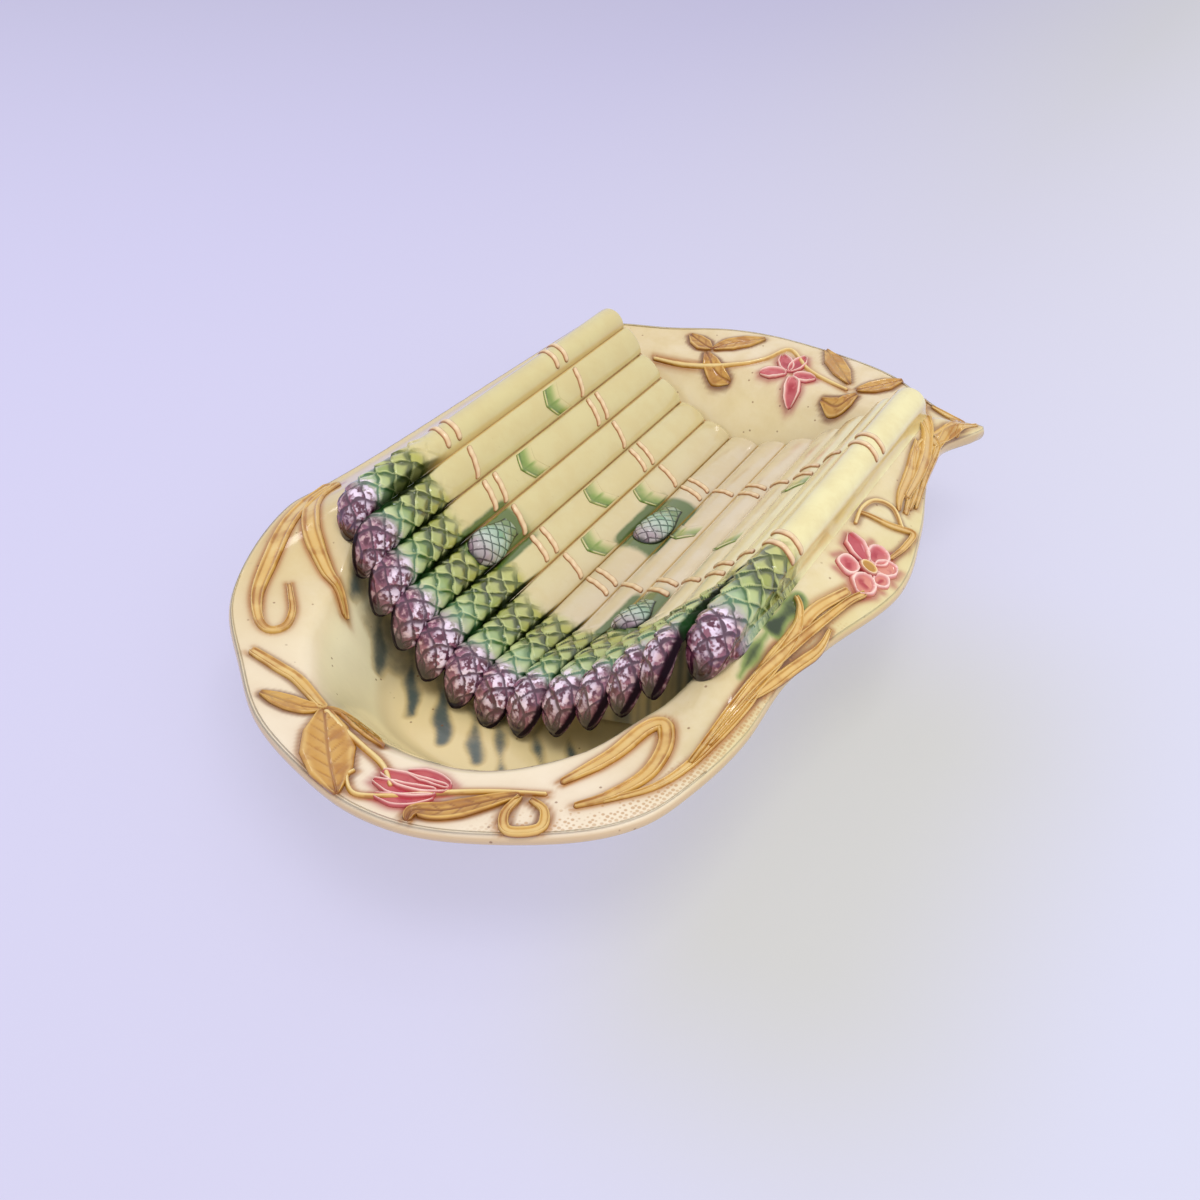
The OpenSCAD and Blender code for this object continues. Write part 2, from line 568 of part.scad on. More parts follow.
module rear_spray() {
    color(caramel) {
        leaf([[193.5, 0.3], [196, 0.48], [198.5, 0.72]], reed_w * 2.4, leaf_h);
        leaf([[192, 0.36], [188.5, 0.5], [184.5, 0.72]], reed_w * 3.2, leaf_h);
        leaf([[192.5, 0.12], [190.5, 0], [187.5, -0.09]], reed_w * 3, leaf_h);
        leaf([[166.5, 0.36], [170, 0.56], [174, 0.8]], reed_w * 3, leaf_h);
        leaf([[164.5, 0.3], [162, 0.55], [160, 0.86]], reed_w * 2.4, leaf_h);
        leaf([[164.5, 0.1], [166, 0.02], [168.5, -0.05]], reed_w * 2, leaf_h);
        strip([[205, 0.0], [200, 0.0], [196, 0.06]], stem_w, reed_h);
        strip([[186, 0.14], [184, 0.12], [182.5, 0.12]], stem_w, reed_h);
        strip([[173, 0.26], [170, 0.22], [167, 0.2]], stem_w, reed_h);
    }
}
dish();
foot_ring();
saddle();
front_skirt();
back_wall();
spear(0);  // spear_01
spear(1);  // spear_02
spear(2);  // spear_03
spear(3);  // spear_04
spear(4);  // spear_05
spear(5);  // spear_06
spear(6);  // spear_07
spear(7);  // spear_08
spear(8);  // spear_09
spear(9);  // spear_10
spear(10);  // spear_11
spear(11);  // spear_12
spear(12);  // spear_13
loose_head(0);  // loose_head_left
loose_head(1);  // loose_head_middle
loose_head(2);  // loose_head_right
front_binding();
rear_binding();
bud_scales();
side_flower_petals();
side_flower_centre();
front_bud();
rear_flower();
front_spray();
front_tendril();
front_curled_leaf();
left_folded_leaf();
left_long_leaf();
right_folded_leaf();
right_reeds();
reed_loops();
corner_reeds();
rear_spray();
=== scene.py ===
"""Looks of the asparagus plate: a scalloped earthenware dish with a cradle of moulded spears,
twine, loose heads and sprigged leaves and flowers, all under one run of coloured lead glaze."""

import math

import bmesh
import bpy
import numpy as np
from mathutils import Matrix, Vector, kdtree


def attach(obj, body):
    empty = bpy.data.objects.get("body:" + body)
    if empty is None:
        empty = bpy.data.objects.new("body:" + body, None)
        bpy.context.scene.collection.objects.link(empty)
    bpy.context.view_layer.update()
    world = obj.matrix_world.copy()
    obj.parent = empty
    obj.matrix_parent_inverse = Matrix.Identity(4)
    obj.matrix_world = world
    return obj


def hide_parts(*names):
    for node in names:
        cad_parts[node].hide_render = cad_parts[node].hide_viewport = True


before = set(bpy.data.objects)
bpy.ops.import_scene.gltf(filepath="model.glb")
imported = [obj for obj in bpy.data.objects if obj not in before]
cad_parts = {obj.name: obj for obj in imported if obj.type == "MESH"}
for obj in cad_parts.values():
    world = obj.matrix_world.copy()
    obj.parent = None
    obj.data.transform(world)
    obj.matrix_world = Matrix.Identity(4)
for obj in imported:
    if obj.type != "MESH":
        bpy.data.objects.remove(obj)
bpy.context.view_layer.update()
scene = bpy.context.scene
scene.view_settings.view_transform = "Standard"


# Camera: it stands in front of the plate and to its right, and looks down on the well.
# Its place was solved from the parallel shafts and the level rim.
eye = Vector((0.2215, -0.3757, 0.3495))
look_back = Vector((0.40967, -0.66739, 0.6219))
camera_data = bpy.data.cameras.new("plate_view")
camera_data.lens = 35.65
camera_data.sensor_width = 36
camera_data.clip_end = 20
camera = bpy.data.objects.new("plate_view", camera_data)
camera.location = eye
camera.rotation_mode = "QUATERNION"
camera.rotation_quaternion = (-look_back).to_track_quat("-Z", "Y")
scene.collection.objects.link(camera)
scene.camera = camera


# Table and light: a wide lilac white sweep of matt board under an even sky, with painted shadow
# right of the plate. Two small soft lamps show in the glaze, and two wide ones only fill.
def srgb(r, g, b):
    """A colour as an eye dropper reads it, made linear."""
    parts = [c / 255 for c in (r, g, b)]
    return tuple(c / 12.92 if c <= 0.04045 else ((c + 0.055) / 1.055) ** 2.4
                 for c in parts) + (1.0,)


def add(tree, kind, links=(), **settings):
    """A node with its settings, and its inputs set or linked by name."""
    made = tree.nodes.new(kind)
    for key, value in settings.items():
        setattr(made, key, value)
    for key, value in dict(links).items():
        if isinstance(value, bpy.types.NodeSocket):
            tree.links.new(value, made.inputs[key])
        else:
            made.inputs[key].default_value = value
    return made


def ramp(tree, factor, stops):
    """A colour ramp through (place, colour) stops, colours as srgb reads them."""
    made = add(tree, "ShaderNodeValToRGB", {"Fac": factor})
    bar = made.color_ramp.elements
    while len(bar) < len(stops):
        bar.new(0.5)
    for knot, (place, colour) in zip(bar, stops):
        knot.position = place
        knot.color = srgb(*colour)
    return made.outputs["Color"]


def spread(tree, value, low, high, new_low=0.0, new_high=1.0):
    """A value stretched smoothly from one range to another."""
    made = add(tree, "ShaderNodeMapRange", {"Value": value, "From Min": low, "From Max": high,
                                            "To Min": new_low, "To Max": new_high},
               interpolation_type="SMOOTHSTEP")
    return made.outputs["Result"]


def sums(tree, a, b, kind="MULTIPLY"):
    """Arithmetic on two values."""
    return add(tree, "ShaderNodeMath", {0: a, 1: b}, operation=kind).outputs[0]


def blend_colour(tree, factor, a, b):
    """Colour b over colour a, where b is another node's colour or one as srgb reads it."""
    over = b if isinstance(b, bpy.types.NodeSocket) else srgb(*b)
    return add(tree, "ShaderNodeMix", {0: factor, 6: a, 7: over}, data_type="RGBA").outputs[2]


def object_place(tree):
    """Where a point is, in metres."""
    return add(tree, "ShaderNodeTexCoord").outputs["Object"]


def axes_of(tree):
    """The same place as three values, X, Y and Z."""
    return add(tree, "ShaderNodeSeparateXYZ", {"Vector": object_place(tree)}).outputs


def noise(tree, where, scale, detail=2.0, roughness=0.5):
    """Cloudy values about one half."""
    return add(tree, "ShaderNodeTexNoise", {"Vector": where, "Scale": scale, "Detail": detail,
                                            "Roughness": roughness}).outputs[0]


def sway(tree, cloudy, swing):
    """Cloudy values about zero, swing apart."""
    return add(tree, "ShaderNodeMath", {0: cloudy, 1: swing, 2: -swing / 2},
               operation="MULTIPLY_ADD").outputs[0]


board = bpy.data.materials.new("table_board")
board.use_nodes = True
tree = board.node_tree
tree.nodes.clear()
axes = axes_of(tree)
across = spread(tree, axes["X"], -0.55, 0.6)
far_off = spread(tree, axes["Y"], -0.3, 1.4)
near_board = ramp(tree, across, [(0, (214, 211, 244)), (0.5, (213, 211, 238)),
                                 (1, (219, 222, 240))])
far_board = ramp(tree, across, [(0, (197, 194, 223)), (0.45, (210, 210, 217)),
                                (1, (236, 235, 248))])
board_colour = blend_colour(tree, far_off, near_board, far_board)
# Painted shadow: a neutral grey patch on the board right of the plate, tinted like light thrown
# back from the cream plate.
painted_shadow_patch = sums(tree, spread(tree, axes["X"], 0.05, 0.13), spread(tree, axes["X"], 0.27, 0.15))
painted_shadow_patch = sums(tree, painted_shadow_patch, sums(tree, spread(tree, axes["Y"], -0.26, -0.13),
                                 spread(tree, axes["Y"], 0.14, -0.02)))
board_colour = blend_colour(tree, sums(tree, painted_shadow_patch, 0.8), board_colour, (208, 208, 200))
matt = add(tree, "ShaderNodeBsdfDiffuse", {"Color": board_colour})
glow = add(tree, "ShaderNodeEmission", {"Color": board_colour, "Strength": 0.98})
shown = add(tree, "ShaderNodeMixShader", {0: 0.68, 1: matt.outputs[0], 2: glow.outputs[0]})
rays = add(tree, "ShaderNodeLightPath")
seen = sums(tree, rays.outputs["Is Camera Ray"], rays.outputs["Is Glossy Ray"], "MAXIMUM")
seen = sums(tree, seen, rays.outputs["Is Transmission Ray"], "MAXIMUM")
plain = add(tree, "ShaderNodeBsdfDiffuse", {"Color": srgb(214, 210, 224)})
both = add(tree, "ShaderNodeMixShader", {0: seen, 1: plain.outputs[0], 2: shown.outputs[0]})
add(tree, "ShaderNodeOutputMaterial", {"Surface": both.outputs[0]})

board_size = 8.0
bm = bmesh.new()
bmesh.ops.create_grid(bm, x_segments=8, y_segments=8, size=board_size / 2)
sheet = bpy.data.meshes.new("table_board")
bm.to_mesh(sheet)
bm.free()
table = bpy.data.objects.new("table_board", sheet)
sheet.materials.append(board)
scene.collection.objects.link(table)

sky = bpy.data.worlds.new("studio_sky")
sky.use_nodes = True
scene.world = sky
sky.node_tree.nodes["Background"].inputs["Color"].default_value = (0.97, 0.95, 1.0, 1)
sky.node_tree.nodes["Background"].inputs["Strength"].default_value = 0.78


def softbox(name, place, aim, width, height, watts, colour, mirrored=True):
    """A rectangular lamp that looks at a point."""
    lamp = bpy.data.lights.new(name, "AREA")
    lamp.shape = "RECTANGLE"
    lamp.size = width
    lamp.size_y = height
    lamp.energy = watts
    lamp.color = colour
    stand = bpy.data.objects.new(name, lamp)
    stand.location = place
    stand.rotation_mode = "QUATERNION"
    stand.rotation_quaternion = (Vector(aim) - Vector(place)).to_track_quat("-Z", "Y")
    stand.visible_glossy = mirrored
    scene.collection.objects.link(stand)


softbox("window", (-0.96, 0.29, 0.84), (0, 0, 0.03), 0.14, 0.2, 0.25, (1.0, 0.98, 0.97))
softbox("high_window", (0.1, 0.5, 1.3), (0, 0, 0.03), 0.12, 0.3, 1.0, (0.98, 0.97, 1.0))
softbox("ceiling", (0.25, -0.2, 1.7), (0, 0, 0), 1.0, 0.9, 11, (1.0, 0.98, 0.94), False)
softbox("right_fill", (1.3, -0.6, 0.9), (0, 0, 0.03), 0.8, 0.6, 5, (1.0, 0.96, 0.9), False)


# Dish: pressed in a mould from one slab of buff earthenware, with a deep well, a wide wavy
# rim and a rolled lip. Its glaze is cream, honey coloured where it pools, and finely pitted.
mm = 0.001
dish_w, dish_l = 254 * mm, 389 * mm
well_w, well_l = 188 * mm, 336 * mm
rim_h, floor_h, lip_d, wall_t = 54 * mm, 8 * mm, 6 * mm, 5 * mm
well_edge_h, shoulder_h = 50 * mm, 64.3 * mm
shoulder_front, shoulder_back = 100 * mm, 151.6 * mm
shoulder_rise, shoulder_fall = 40 * mm, 22 * mm
floor_share = 0.76
outline_shares = [(0.13, -1), (0.35, -0.97), (0.62, -0.87), (0.77, -0.77), (0.835, -0.65),
                  (0.87, -0.5), (0.865, -0.32), (0.91, -0.17), (1, 0.06), (0.945, 0.29),
                  (0.85, 0.51), (0.83, 0.67), (0.92, 0.8), (0.81, 0.805), (0.65, 0.865),
                  (0.47, 0.945), (0.24, 0.985), (-0.08, 1), (-0.31, 0.97), (-0.54, 0.89),
                  (-0.74, 0.84), (-0.88, 0.78), (-0.9, 0.68), (-0.92, 0.41), (-0.955, -0.07),
                  (-0.985, -0.28), (-1, -0.39), (-0.92, -0.555), (-0.775, -0.71),
                  (-0.55, -0.83), (-0.34, -0.925), (-0.09, -0.98)]
well_right_shares = [(0, -1), (0.4, -0.955), (0.68, -0.8), (0.8, -0.62), (0.9, -0.46),
                     (1, -0.31), (1, 0), (1, 0.45), (1, 0.8), (0.88, 0.885), (0.5, 0.93),
                     (0, 0.95)]


def spline_point(a, b, c, d, t):
    """A point between b and c on a smooth line through four points."""
    return 0.5 * (2 * b + (c - a) * t + (2 * a - 5 * b + 4 * c - d) * t ** 2
                  + (3 * b - a - 3 * c + d) * t ** 3)


def turn_table(shares, width, length):
    """Radius against bearing, round a closed smooth outline."""
    points = [np.array((x * width / 2, y * length / 2)) for x, y in shares]
    n = len(points)
    ring = [spline_point(points[i - 1], points[i], points[(i + 1) % n], points[(i + 2) % n], s / 8)
            for i in range(n) for s in range(8)]
    ring.sort(key=lambda p: math.degrees(math.atan2(p[1], p[0])) % 360)
    turns = [math.degrees(math.atan2(p[1], p[0])) % 360 for p in ring]
    radii = [math.hypot(*p) for p in ring]
    return (np.array([turns[-1] - 360] + turns + [turns[0] + 360]),
            np.array([radii[-1]] + radii + [radii[0]]))


rim_table = turn_table(outline_shares, dish_w, dish_l)
well_shares = well_right_shares + [(-x, y) for x, y in well_right_shares[-2:0:-1]]
well_table = turn_table(well_shares, well_w, well_l)


def ease(t):
    """Smooth step from 0 to 1."""
    t = min(max(t, 0.0), 1.0)
    return t * t * (3 - 2 * t)


def rim_place(bearing, share):
    """A place on the dish: share is the way across the rim, and below zero it is in the well."""
    inner = np.interp(bearing % 360, *well_table)
    outer = np.interp(bearing % 360, *rim_table)
    r = inner * (1 + share) if share < 0 else inner + share * (outer - inner)
    turn = math.radians(bearing)
    return r * math.cos(turn), r * math.sin(turn)


def dish_top(x, y):
    """Height of the dish's upper face."""
    bearing = math.degrees(math.atan2(y, x)) % 360
    r = math.hypot(x, y)
    inner = np.interp(bearing, *well_table)
    outer = np.interp(bearing, *rim_table)
    edge_y = inner * math.sin(math.radians(bearing))
    edge = well_edge_h + (shoulder_h - well_edge_h) * (
        ease((edge_y + shoulder_front) / shoulder_rise)
        * ease((shoulder_back - edge_y) / shoulder_fall))
    if r <= inner:
        return floor_h + (edge - floor_h) * ease((r / inner - floor_share) / (1 - floor_share))
    t = (r - inner) / (outer - inner)
    return edge + (rim_h - edge) * (ease(t) if edge > rim_h else min(t, 1))


def dish_normal(x, y):
    """Upward direction of the dish's upper face."""
    d = 0.6 * mm
    slope_x = (dish_top(x + d, y) - dish_top(x - d, y)) / (2 * d)
    slope_y = (dish_top(x, y + d) - dish_top(x, y - d)) / (2 * d)
    return Vector((-slope_x, -slope_y, 1)).normalized()


def fire(bm, name, glaze, node=None):
    """Closes and smooths a finished skin, and makes it a piece that stands for its node."""
    bmesh.ops.remove_doubles(bm, verts=bm.verts, dist=0.004 * mm)
    bmesh.ops.holes_fill(bm, edges=[e for e in bm.edges if e.is_boundary], sides=0)
    bmesh.ops.recalc_face_normals(bm, faces=bm.faces)
    mesh = bpy.data.meshes.new(name)
    bm.to_mesh(mesh)
    bm.free()
    mesh.shade_smooth()
    mesh.materials.append(glaze)
    piece = bpy.data.objects.new(name, mesh)
    scene.collection.objects.link(piece)
    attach(piece, "root")
    if node:
        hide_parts(node)
    return piece


dish_rounds = 720
under_shares = [-0.97, -0.6, floor_share - 1.03] + [
    (floor_share - 1) * (1 - i / 12) for i in range(13)] + [0.11 * i for i in range(1, 8)]
lip_turns = [-75, -50, -25, 0, 25, 50, 75]
lip_share = 0.12
top_shares = [1 - lip_share * (1 - math.cos(math.radians(a))) * 0.5 for a in (60, 90)] + [
    1 - lip_share - 0.02 * i for i in range(44)] + [-0.0085 * i for i in range(48)] + [
    -0.5, -0.62, -0.78, -0.97]


def dish_ring(share, below=False):
    """One ring of the dish's skin."""
    ring = []
    for i in range(dish_rounds):
        x, y = rim_place(360 * i / dish_rounds, share)
        z = dish_top(x, y)
        if below:
            z = max(z - wall_t, floor_h - wall_t)
        ring.append((x, y, z))
    return ring


def lip_ring(angle):
    """One ring round the rolled lip, from under it to over it."""
    ring = []
    for i in range(dish_rounds):
        bearing = 360 * i / dish_rounds
        x, y = rim_place(bearing, 1)
        out = lip_d / 2 * math.cos(math.radians(angle)) - lip_d / 2
        x += out * math.cos(math.radians(bearing))
        y += out * math.sin(math.radians(bearing))
        ring.append((x, y, rim_h - lip_d / 2 + lip_d / 2 * math.sin(math.radians(angle))))
    return ring


bm = bmesh.new()
rings = [dish_ring(s, True) for s in under_shares] + [lip_ring(a) for a in lip_turns]
rings += [dish_ring(s) for s in top_shares]
first = bmesh.ops.create_circle(bm, cap_ends=False, segments=dish_rounds, radius=1)["verts"]
for v, co in zip(first, rings[0]):
    v.co = co
edges = list(bm.edges)
for ring in rings[1:]:
    grown = bmesh.ops.extrude_edge_only(bm, edges=edges)["geom"]
    edges = [g for g in grown if isinstance(g, bmesh.types.BMEdge)]
    verts = [g for g in grown if isinstance(g, bmesh.types.BMVert)]
    turned = {round(math.degrees(math.atan2(v.co.y, v.co.x)) % 360 * dish_rounds / 360)
              % dish_rounds: v for v in verts}
    for i, co in enumerate(ring):
        turned[i].co = co


def group(name, inputs, outputs):
    """A shared shader group with value or colour sockets."""
    made = bpy.data.node_groups.new(name, "ShaderNodeTree")
    for label, kind in inputs:
        made.interface.new_socket(label, in_out="INPUT", socket_type=kind)
    for label, kind in outputs:
        made.interface.new_socket(label, in_out="OUTPUT", socket_type=kind)
    return made


value, vector_kind = "NodeSocketFloat", "NodeSocketVector"
fired = group("fired_skin", [("Bump", value)],
              [("Mottle", value), ("Cloud", value), ("Pits", value), ("Normal", vector_kind)])
tree = fired
where = object_place(tree)
mottle = noise(tree, where, 55, 4, 0.62)
cloud = noise(tree, where, 14)
cells = add(tree, "ShaderNodeTexVoronoi", {"Vector": where, "Scale": 330})
rare = add(tree, "ShaderNodeSeparateColor", {"Color": cells.outputs["Color"]}).outputs["Red"]
spot = spread(tree, cells.outputs["Distance"], 0.24, 0.1)
pits = sums(tree, spot, spread(tree, rare, 0.93, 0.95))
swell = noise(tree, where, 120)
height = sums(tree, swell, sums(tree, pits, -0.9), "ADD")
ports_in = add(tree, "NodeGroupInput")
bump = add(tree, "ShaderNodeBump", {"Strength": ports_in.outputs["Bump"], "Distance": 0.0006,
                                    "Height": height}).outputs[0]
add(tree, "NodeGroupOutput", {"Mottle": mottle, "Cloud": cloud, "Pits": pits, "Normal": bump})


def glaze(name, paint, roughness=0.13, bump=0.22, coat=0.6):
    """A glazed clay. paint(tree, skin) gives the colour, from the shared fired skin."""
    made = bpy.data.materials.new(name)
    made.use_nodes = True
    tree = made.node_tree
    skin = add(tree, "ShaderNodeGroup", node_tree=fired)
    skin.inputs["Bump"].default_value = bump
    body = tree.nodes["Principled BSDF"]
    colour = paint(tree, skin.outputs)
    tree.links.new(colour, body.inputs["Base Color"])
    tree.links.new(skin.outputs["Normal"], body.inputs["Normal"])
    dull = add(tree, "ShaderNodeMath", {0: skin.outputs["Mottle"], 1: 0.12, 2: roughness - 0.06},
               operation="MULTIPLY_ADD").outputs[0]
    tree.links.new(dull, body.inputs["Roughness"])
    body.inputs["Coat Weight"].default_value = coat
    body.inputs["Coat Roughness"].default_value = 0.05
    body.inputs["IOR"].default_value = 1.55
    return made


def mark(tree, name):
    """A value that the mesh carries."""
    return add(tree, "ShaderNodeAttribute", attribute_name=name).outputs["Fac"]


def dish_paint(tree, skin):
    """Cream with honey pools, blue grey runs and fine honey dots, with painted light on the lower
    well, a painted sheen on its left wall and painted shade under the heads.
    """
    base = ramp(tree, skin["Mottle"], [(0.3, (208, 188, 144)), (0.5, (216, 199, 161)),
                                       (0.72, (223, 209, 180))])
    axes = axes_of(tree)
    green_side = sums(tree, spread(tree, axes["X"], 0.07, 0.13), 0.6)
    base = blend_colour(tree, green_side, base, (216, 208, 140))
    pale_front = spread(tree, axes["Y"], -0.1, -0.15, 0, 0.6)
    base = blend_colour(tree, pale_front, base, (236, 224, 206))
    tan_side = sums(tree, spread(tree, axes["X"], -0.02, -0.12), 0.65)
    base = blend_colour(tree, tan_side, base, (206, 184, 122))
    # Painted light: the lower well is painted lighter and yellower against the shade that falls in
    # it.
    wall = sums(tree, spread(tree, axes["Z"], 0.053, 0.034),
                spread(tree, axes["Y"], 0.1, 0.0, 0.35, 0.85))
    base = blend_colour(tree, wall, base, (242, 229, 170))
    # Painted reflection: the left wall of the well is painted near white, as a soft sheen.
    painted_sheen = sums(tree, wall, spread(tree, axes["X"], -0.02, -0.07))
    base = blend_colour(tree, painted_sheen, base, (254, 248, 214))
    deep = sums(tree, spread(tree, axes["Z"], 0.016, 0.009), 0.75)
    base = blend_colour(tree, deep, base, (218, 197, 148))
    wash = sums(tree, mark(tree, "halo"), spread(tree, skin["Cloud"], 0.3, 0.65, 0.5, 1))
    base = blend_colour(tree, wash, base, (168, 112, 48))
    base = blend_colour(tree, mark(tree, "junction"), base, (96, 52, 22))
    cells = add(tree, "ShaderNodeTexVoronoi", {"Vector": object_place(tree), "Scale": 560,
                                               "Randomness": 0.35})
    dots = sums(tree, spread(tree, cells.outputs["Distance"], 0.5, 0.3), mark(tree, "stipple"))
    base = blend_colour(tree, sums(tree, dots, 0.6), base, (176, 124, 62))
    base = blend_colour(tree, mark(tree, "blush"), base, (160, 40, 52))
    ragged = sway(tree, skin["Mottle"], 0.9)

    def frayed(name, reach):
        """How deep a run is, with a ragged edge."""
        deep = mark(tree, name)
        return sums(tree, deep, sums(tree, ragged, spread(tree, deep, 0.0, reach)), "ADD")

    run, moss = frayed("run", 0.3), frayed("moss", 0.2)
    # The runs mark carries the real blue grey glaze runs and also painted shade in the well under
    # the heads.
    base = blend_colour(tree, spread(tree, run, 0.05, 0.4, 0, 0.55), base, (190, 166, 112))
    base = blend_colour(tree, spread(tree, run, 0.25, 1.0), base, (84, 94, 90))
    base = blend_colour(tree, spread(tree, moss, 0.0, 0.6, 0, 0.85), base, (108, 138, 50))
    base = blend_colour(tree, spread(tree, moss, 0.42, 1.0), base, (28, 50, 4))
    base = blend_colour(tree, sums(tree, mark(tree, "lip_side"), 0.7), base, (196, 164, 116))
    return blend_colour(tree, sums(tree, skin["Pits"], 0.7), base, (120, 76, 40))


dish_glaze = glaze("dish_glaze", dish_paint)
dish = fire(bm, "dish_glazed", dish_glaze, "dish")


# Foot, saddle and the walls that close the cradle: slabs luted under the spears. The foot is
# bare, and the front wall is cream with what runs down from the heads.
def bare_paint(tree, skin):
    """Buff clay."""
    return ramp(tree, skin["Mottle"], [(0.3, (176, 140, 104)), (0.7, (204, 172, 134))])


def cradle_paint(tree, skin):
    """Honey glaze, and at the front cream with grey blue streaks under the heads."""
    axes = axes_of(tree)
    front = spread(tree, axes["Y"], -0.02, -0.05)
    honey = ramp(tree, skin["Mottle"], [(0.3, (150, 104, 52)), (0.7, (196, 158, 96))])
    bands = noise(tree, axes["X"], 60)
    stripes = sums(tree, spread(tree, bands, 0.42, 0.56),
                   spread(tree, axes["Z"], 0.0, 0.02, 0.4, 1))
    cream = ramp(tree, skin["Mottle"], [(0.3, (224, 208, 164)), (0.7, (240, 226, 190))])
    wall = blend_colour(tree, stripes, cream, (118, 126, 126))
    return blend_colour(tree, front, honey, wall)


bare_clay = glaze("bare_clay", bare_paint, roughness=0.75, coat=0.0)
cradle_glaze = glaze("cradle_glaze", cradle_paint)
for node, finish in (("foot_ring", bare_clay), ("saddle", cradle_glaze),
                     ("front_skirt", cradle_glaze), ("back_wall", cradle_glaze)):
    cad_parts[node].data.materials.clear()
    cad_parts[node].data.materials.append(finish)


# Spears: thirteen shafts side by side, each moulded with a head of pointed scales that hangs
# over the front of the saddle. Purple at the tip, then mint and green, and cream along the shaft,
# with green pooled round the three loose heads, and painted highlights and painted shade on the
# heads. The keel spear is the lowest, in the middle.
spear_count, keel = 13, 6
grooves = [(8.4, 20.7), (24.08, 26.72), (39.43, 33.55), (52.11, 44.58), (64.79, 55.6),
           (75.13, 68.84)]
roll_x, roll_z, roll_r = 83.63 * mm, 68.84 * mm, 8.5 * mm
joint_gap = 0.075 * mm
butt_y, head_l = 133.6 * mm, 58 * mm
tip_front, tip_bow = -105 * mm, 15 * mm
tip_back = [0.12, 0.03, 0, 0, 0, 0, 0, 0, 0.02, 0.02, 0.02, 0.02, 0.12]
saddle_y, saddle_bow = -82 * mm, 26 * mm
shaft_crown, head_crown, droop = 3 * mm, 7 * mm, 12 * mm
nose_share, bend_share = 0.16, 0.24
green_ends = [-40, -42, -46, -48, -40, -49, -48, -54, -54, -52, -42, -32, -20]
scale_l, scale_w, scale_rise = 11.5 * mm, 8.6 * mm, 1.5 * mm
loose_heads = [("loose_head_left", 3, -50, 30.2, 4.0), ("loose_head_middle", 6, 21, 33, 2.5),
               ("loose_head_right", 8, -49.4, 23.4, 3.1)]


def spear_seat(i):
    """Middle of a spear's seat, its directions across and outward, and half its width."""
    m, side = abs(i - keel), (1 if i > keel else -1)
    if m == keel:
        return Vector((side * roll_x, 0, roll_z)), Vector((side, 0, 0)), Vector((0, 0, 1)), roll_r
    low = Vector((-grooves[0][0], 0, grooves[0][1])) if m == 0 else Vector(
        (grooves[m - 1][0], 0, grooves[m - 1][1]))
    high = Vector((grooves[m][0], 0, grooves[m][1]))
    mid, span = (low + high) * mm / 2, (high - low) * mm
    half = span.length / 2 - joint_gap
    span.normalize()
    return (Vector((side * mid.x, 0, mid.z)), Vector((side * span.x, 0, span.z)),
            Vector((-side * span.z, 0, span.x)), half)


def spear_tip(i):
    """Where a head ends."""
    x = spear_seat(i)[0].x
    return tip_front + tip_bow * (x / roll_x) ** 2 + tip_back[i] * head_l


def saddle_edge(x):
    """The saddle's bowed front edge."""
    bow_r = (roll_x ** 2 + saddle_bow ** 2) / (2 * saddle_bow)
    return saddle_y + bow_r - math.sqrt(bow_r ** 2 - x ** 2)


def spear_section(i, y):
    """A spear's section at y: its middle, directions, half width, crown and depth."""
    mid, across, outward, half = spear_seat(i)
    tip = spear_tip(i)
    share = (y - tip) / head_l
    nose = math.sqrt(max(1 - max(1 - share / nose_share, 0) ** 2, 0))
    bend = min(saddle_edge(max(abs(mid.x) - half, 0)) - 0.3 * mm, tip + bend_share * head_l)
    past = max(bend - y, 0) / (bend - tip)
    size = min(nose + 0.05, 1)
    if abs(i - keel) == keel:
        crown, deep = roll_r * size, roll_r * 0.5 * size
    else:
        crown = (shaft_crown + (head_crown - shaft_crown) * ease((1 - share) / 0.6)) * size
        deep = past * head_crown * 0.8 * size + 0.8 * mm
    wide = half * size - 0.1 * mm
    end = max((y - butt_y + 2 * mm) / (2 * mm), 0)
    trim = math.sqrt(max(1 - min(end, 1) ** 2 * 0.6, 0))
    mid = Vector((mid.x, y, mid.z - droop * past ** 2))
    return mid, across, outward, wide * trim, crown * trim, deep


def spear_skin(i, y, angle, lift=0.0):
    """A point of a spear's skin, and lift above it."""
    mid, across, outward, wide, crown, deep = spear_section(i, y)
    turn = math.radians(angle)
    tall = crown if math.sin(turn) > 0 else deep
    out = across * (math.cos(turn) / wide) + outward * (math.sin(turn) / tall)
    out.normalize()
    spot = mid + across * math.cos(turn) * wide + outward * math.sin(turn) * tall + out * lift
    if abs(i - keel) == keel and math.cos(turn) > 0 and math.sin(turn) < 0:
        low = min(-math.sin(turn) / 0.5, 1) * ease((y - spear_tip(i)) / (0.3 * head_l))
        spot.x += across.x * (roll_r * (1 - math.cos(turn)) + 2.6 * mm) * low
        spot.z += (dish_top(spot.x, spot.y) - 0.4 * mm - spot.z) * low
    if y < -60 * mm:
        spot.z = max(spot.z, dish_top(spot.x, spot.y) + 0.3 * mm)
    return spot


def scale_height(u, v):
    """Height of the lapped scales, 0 to 1, where u and v count scales across and along."""
    p, q = (v + u) % 1, (v - u) % 1
    return 1 - 0.8 * max(p, q) ** 2.5


def tube(bm, around, along, spot_at, layers=()):
    """A closed skin. spot_at(turn, way) gives the point at a share round and a share along, and
    the values of the named layers."""
    slots = [bm.verts.layers.float.get(name) or bm.verts.layers.float.new(name)
             for name in layers]
    made = bmesh.ops.create_grid(bm, x_segments=around, y_segments=along, size=0.5)["verts"]
    for v in made:
        spot, values = spot_at(v.co.x + 0.5, v.co.y + 0.5)
        v.co = spot
        for slot, amount in zip(slots, values):
            v[slot] = amount


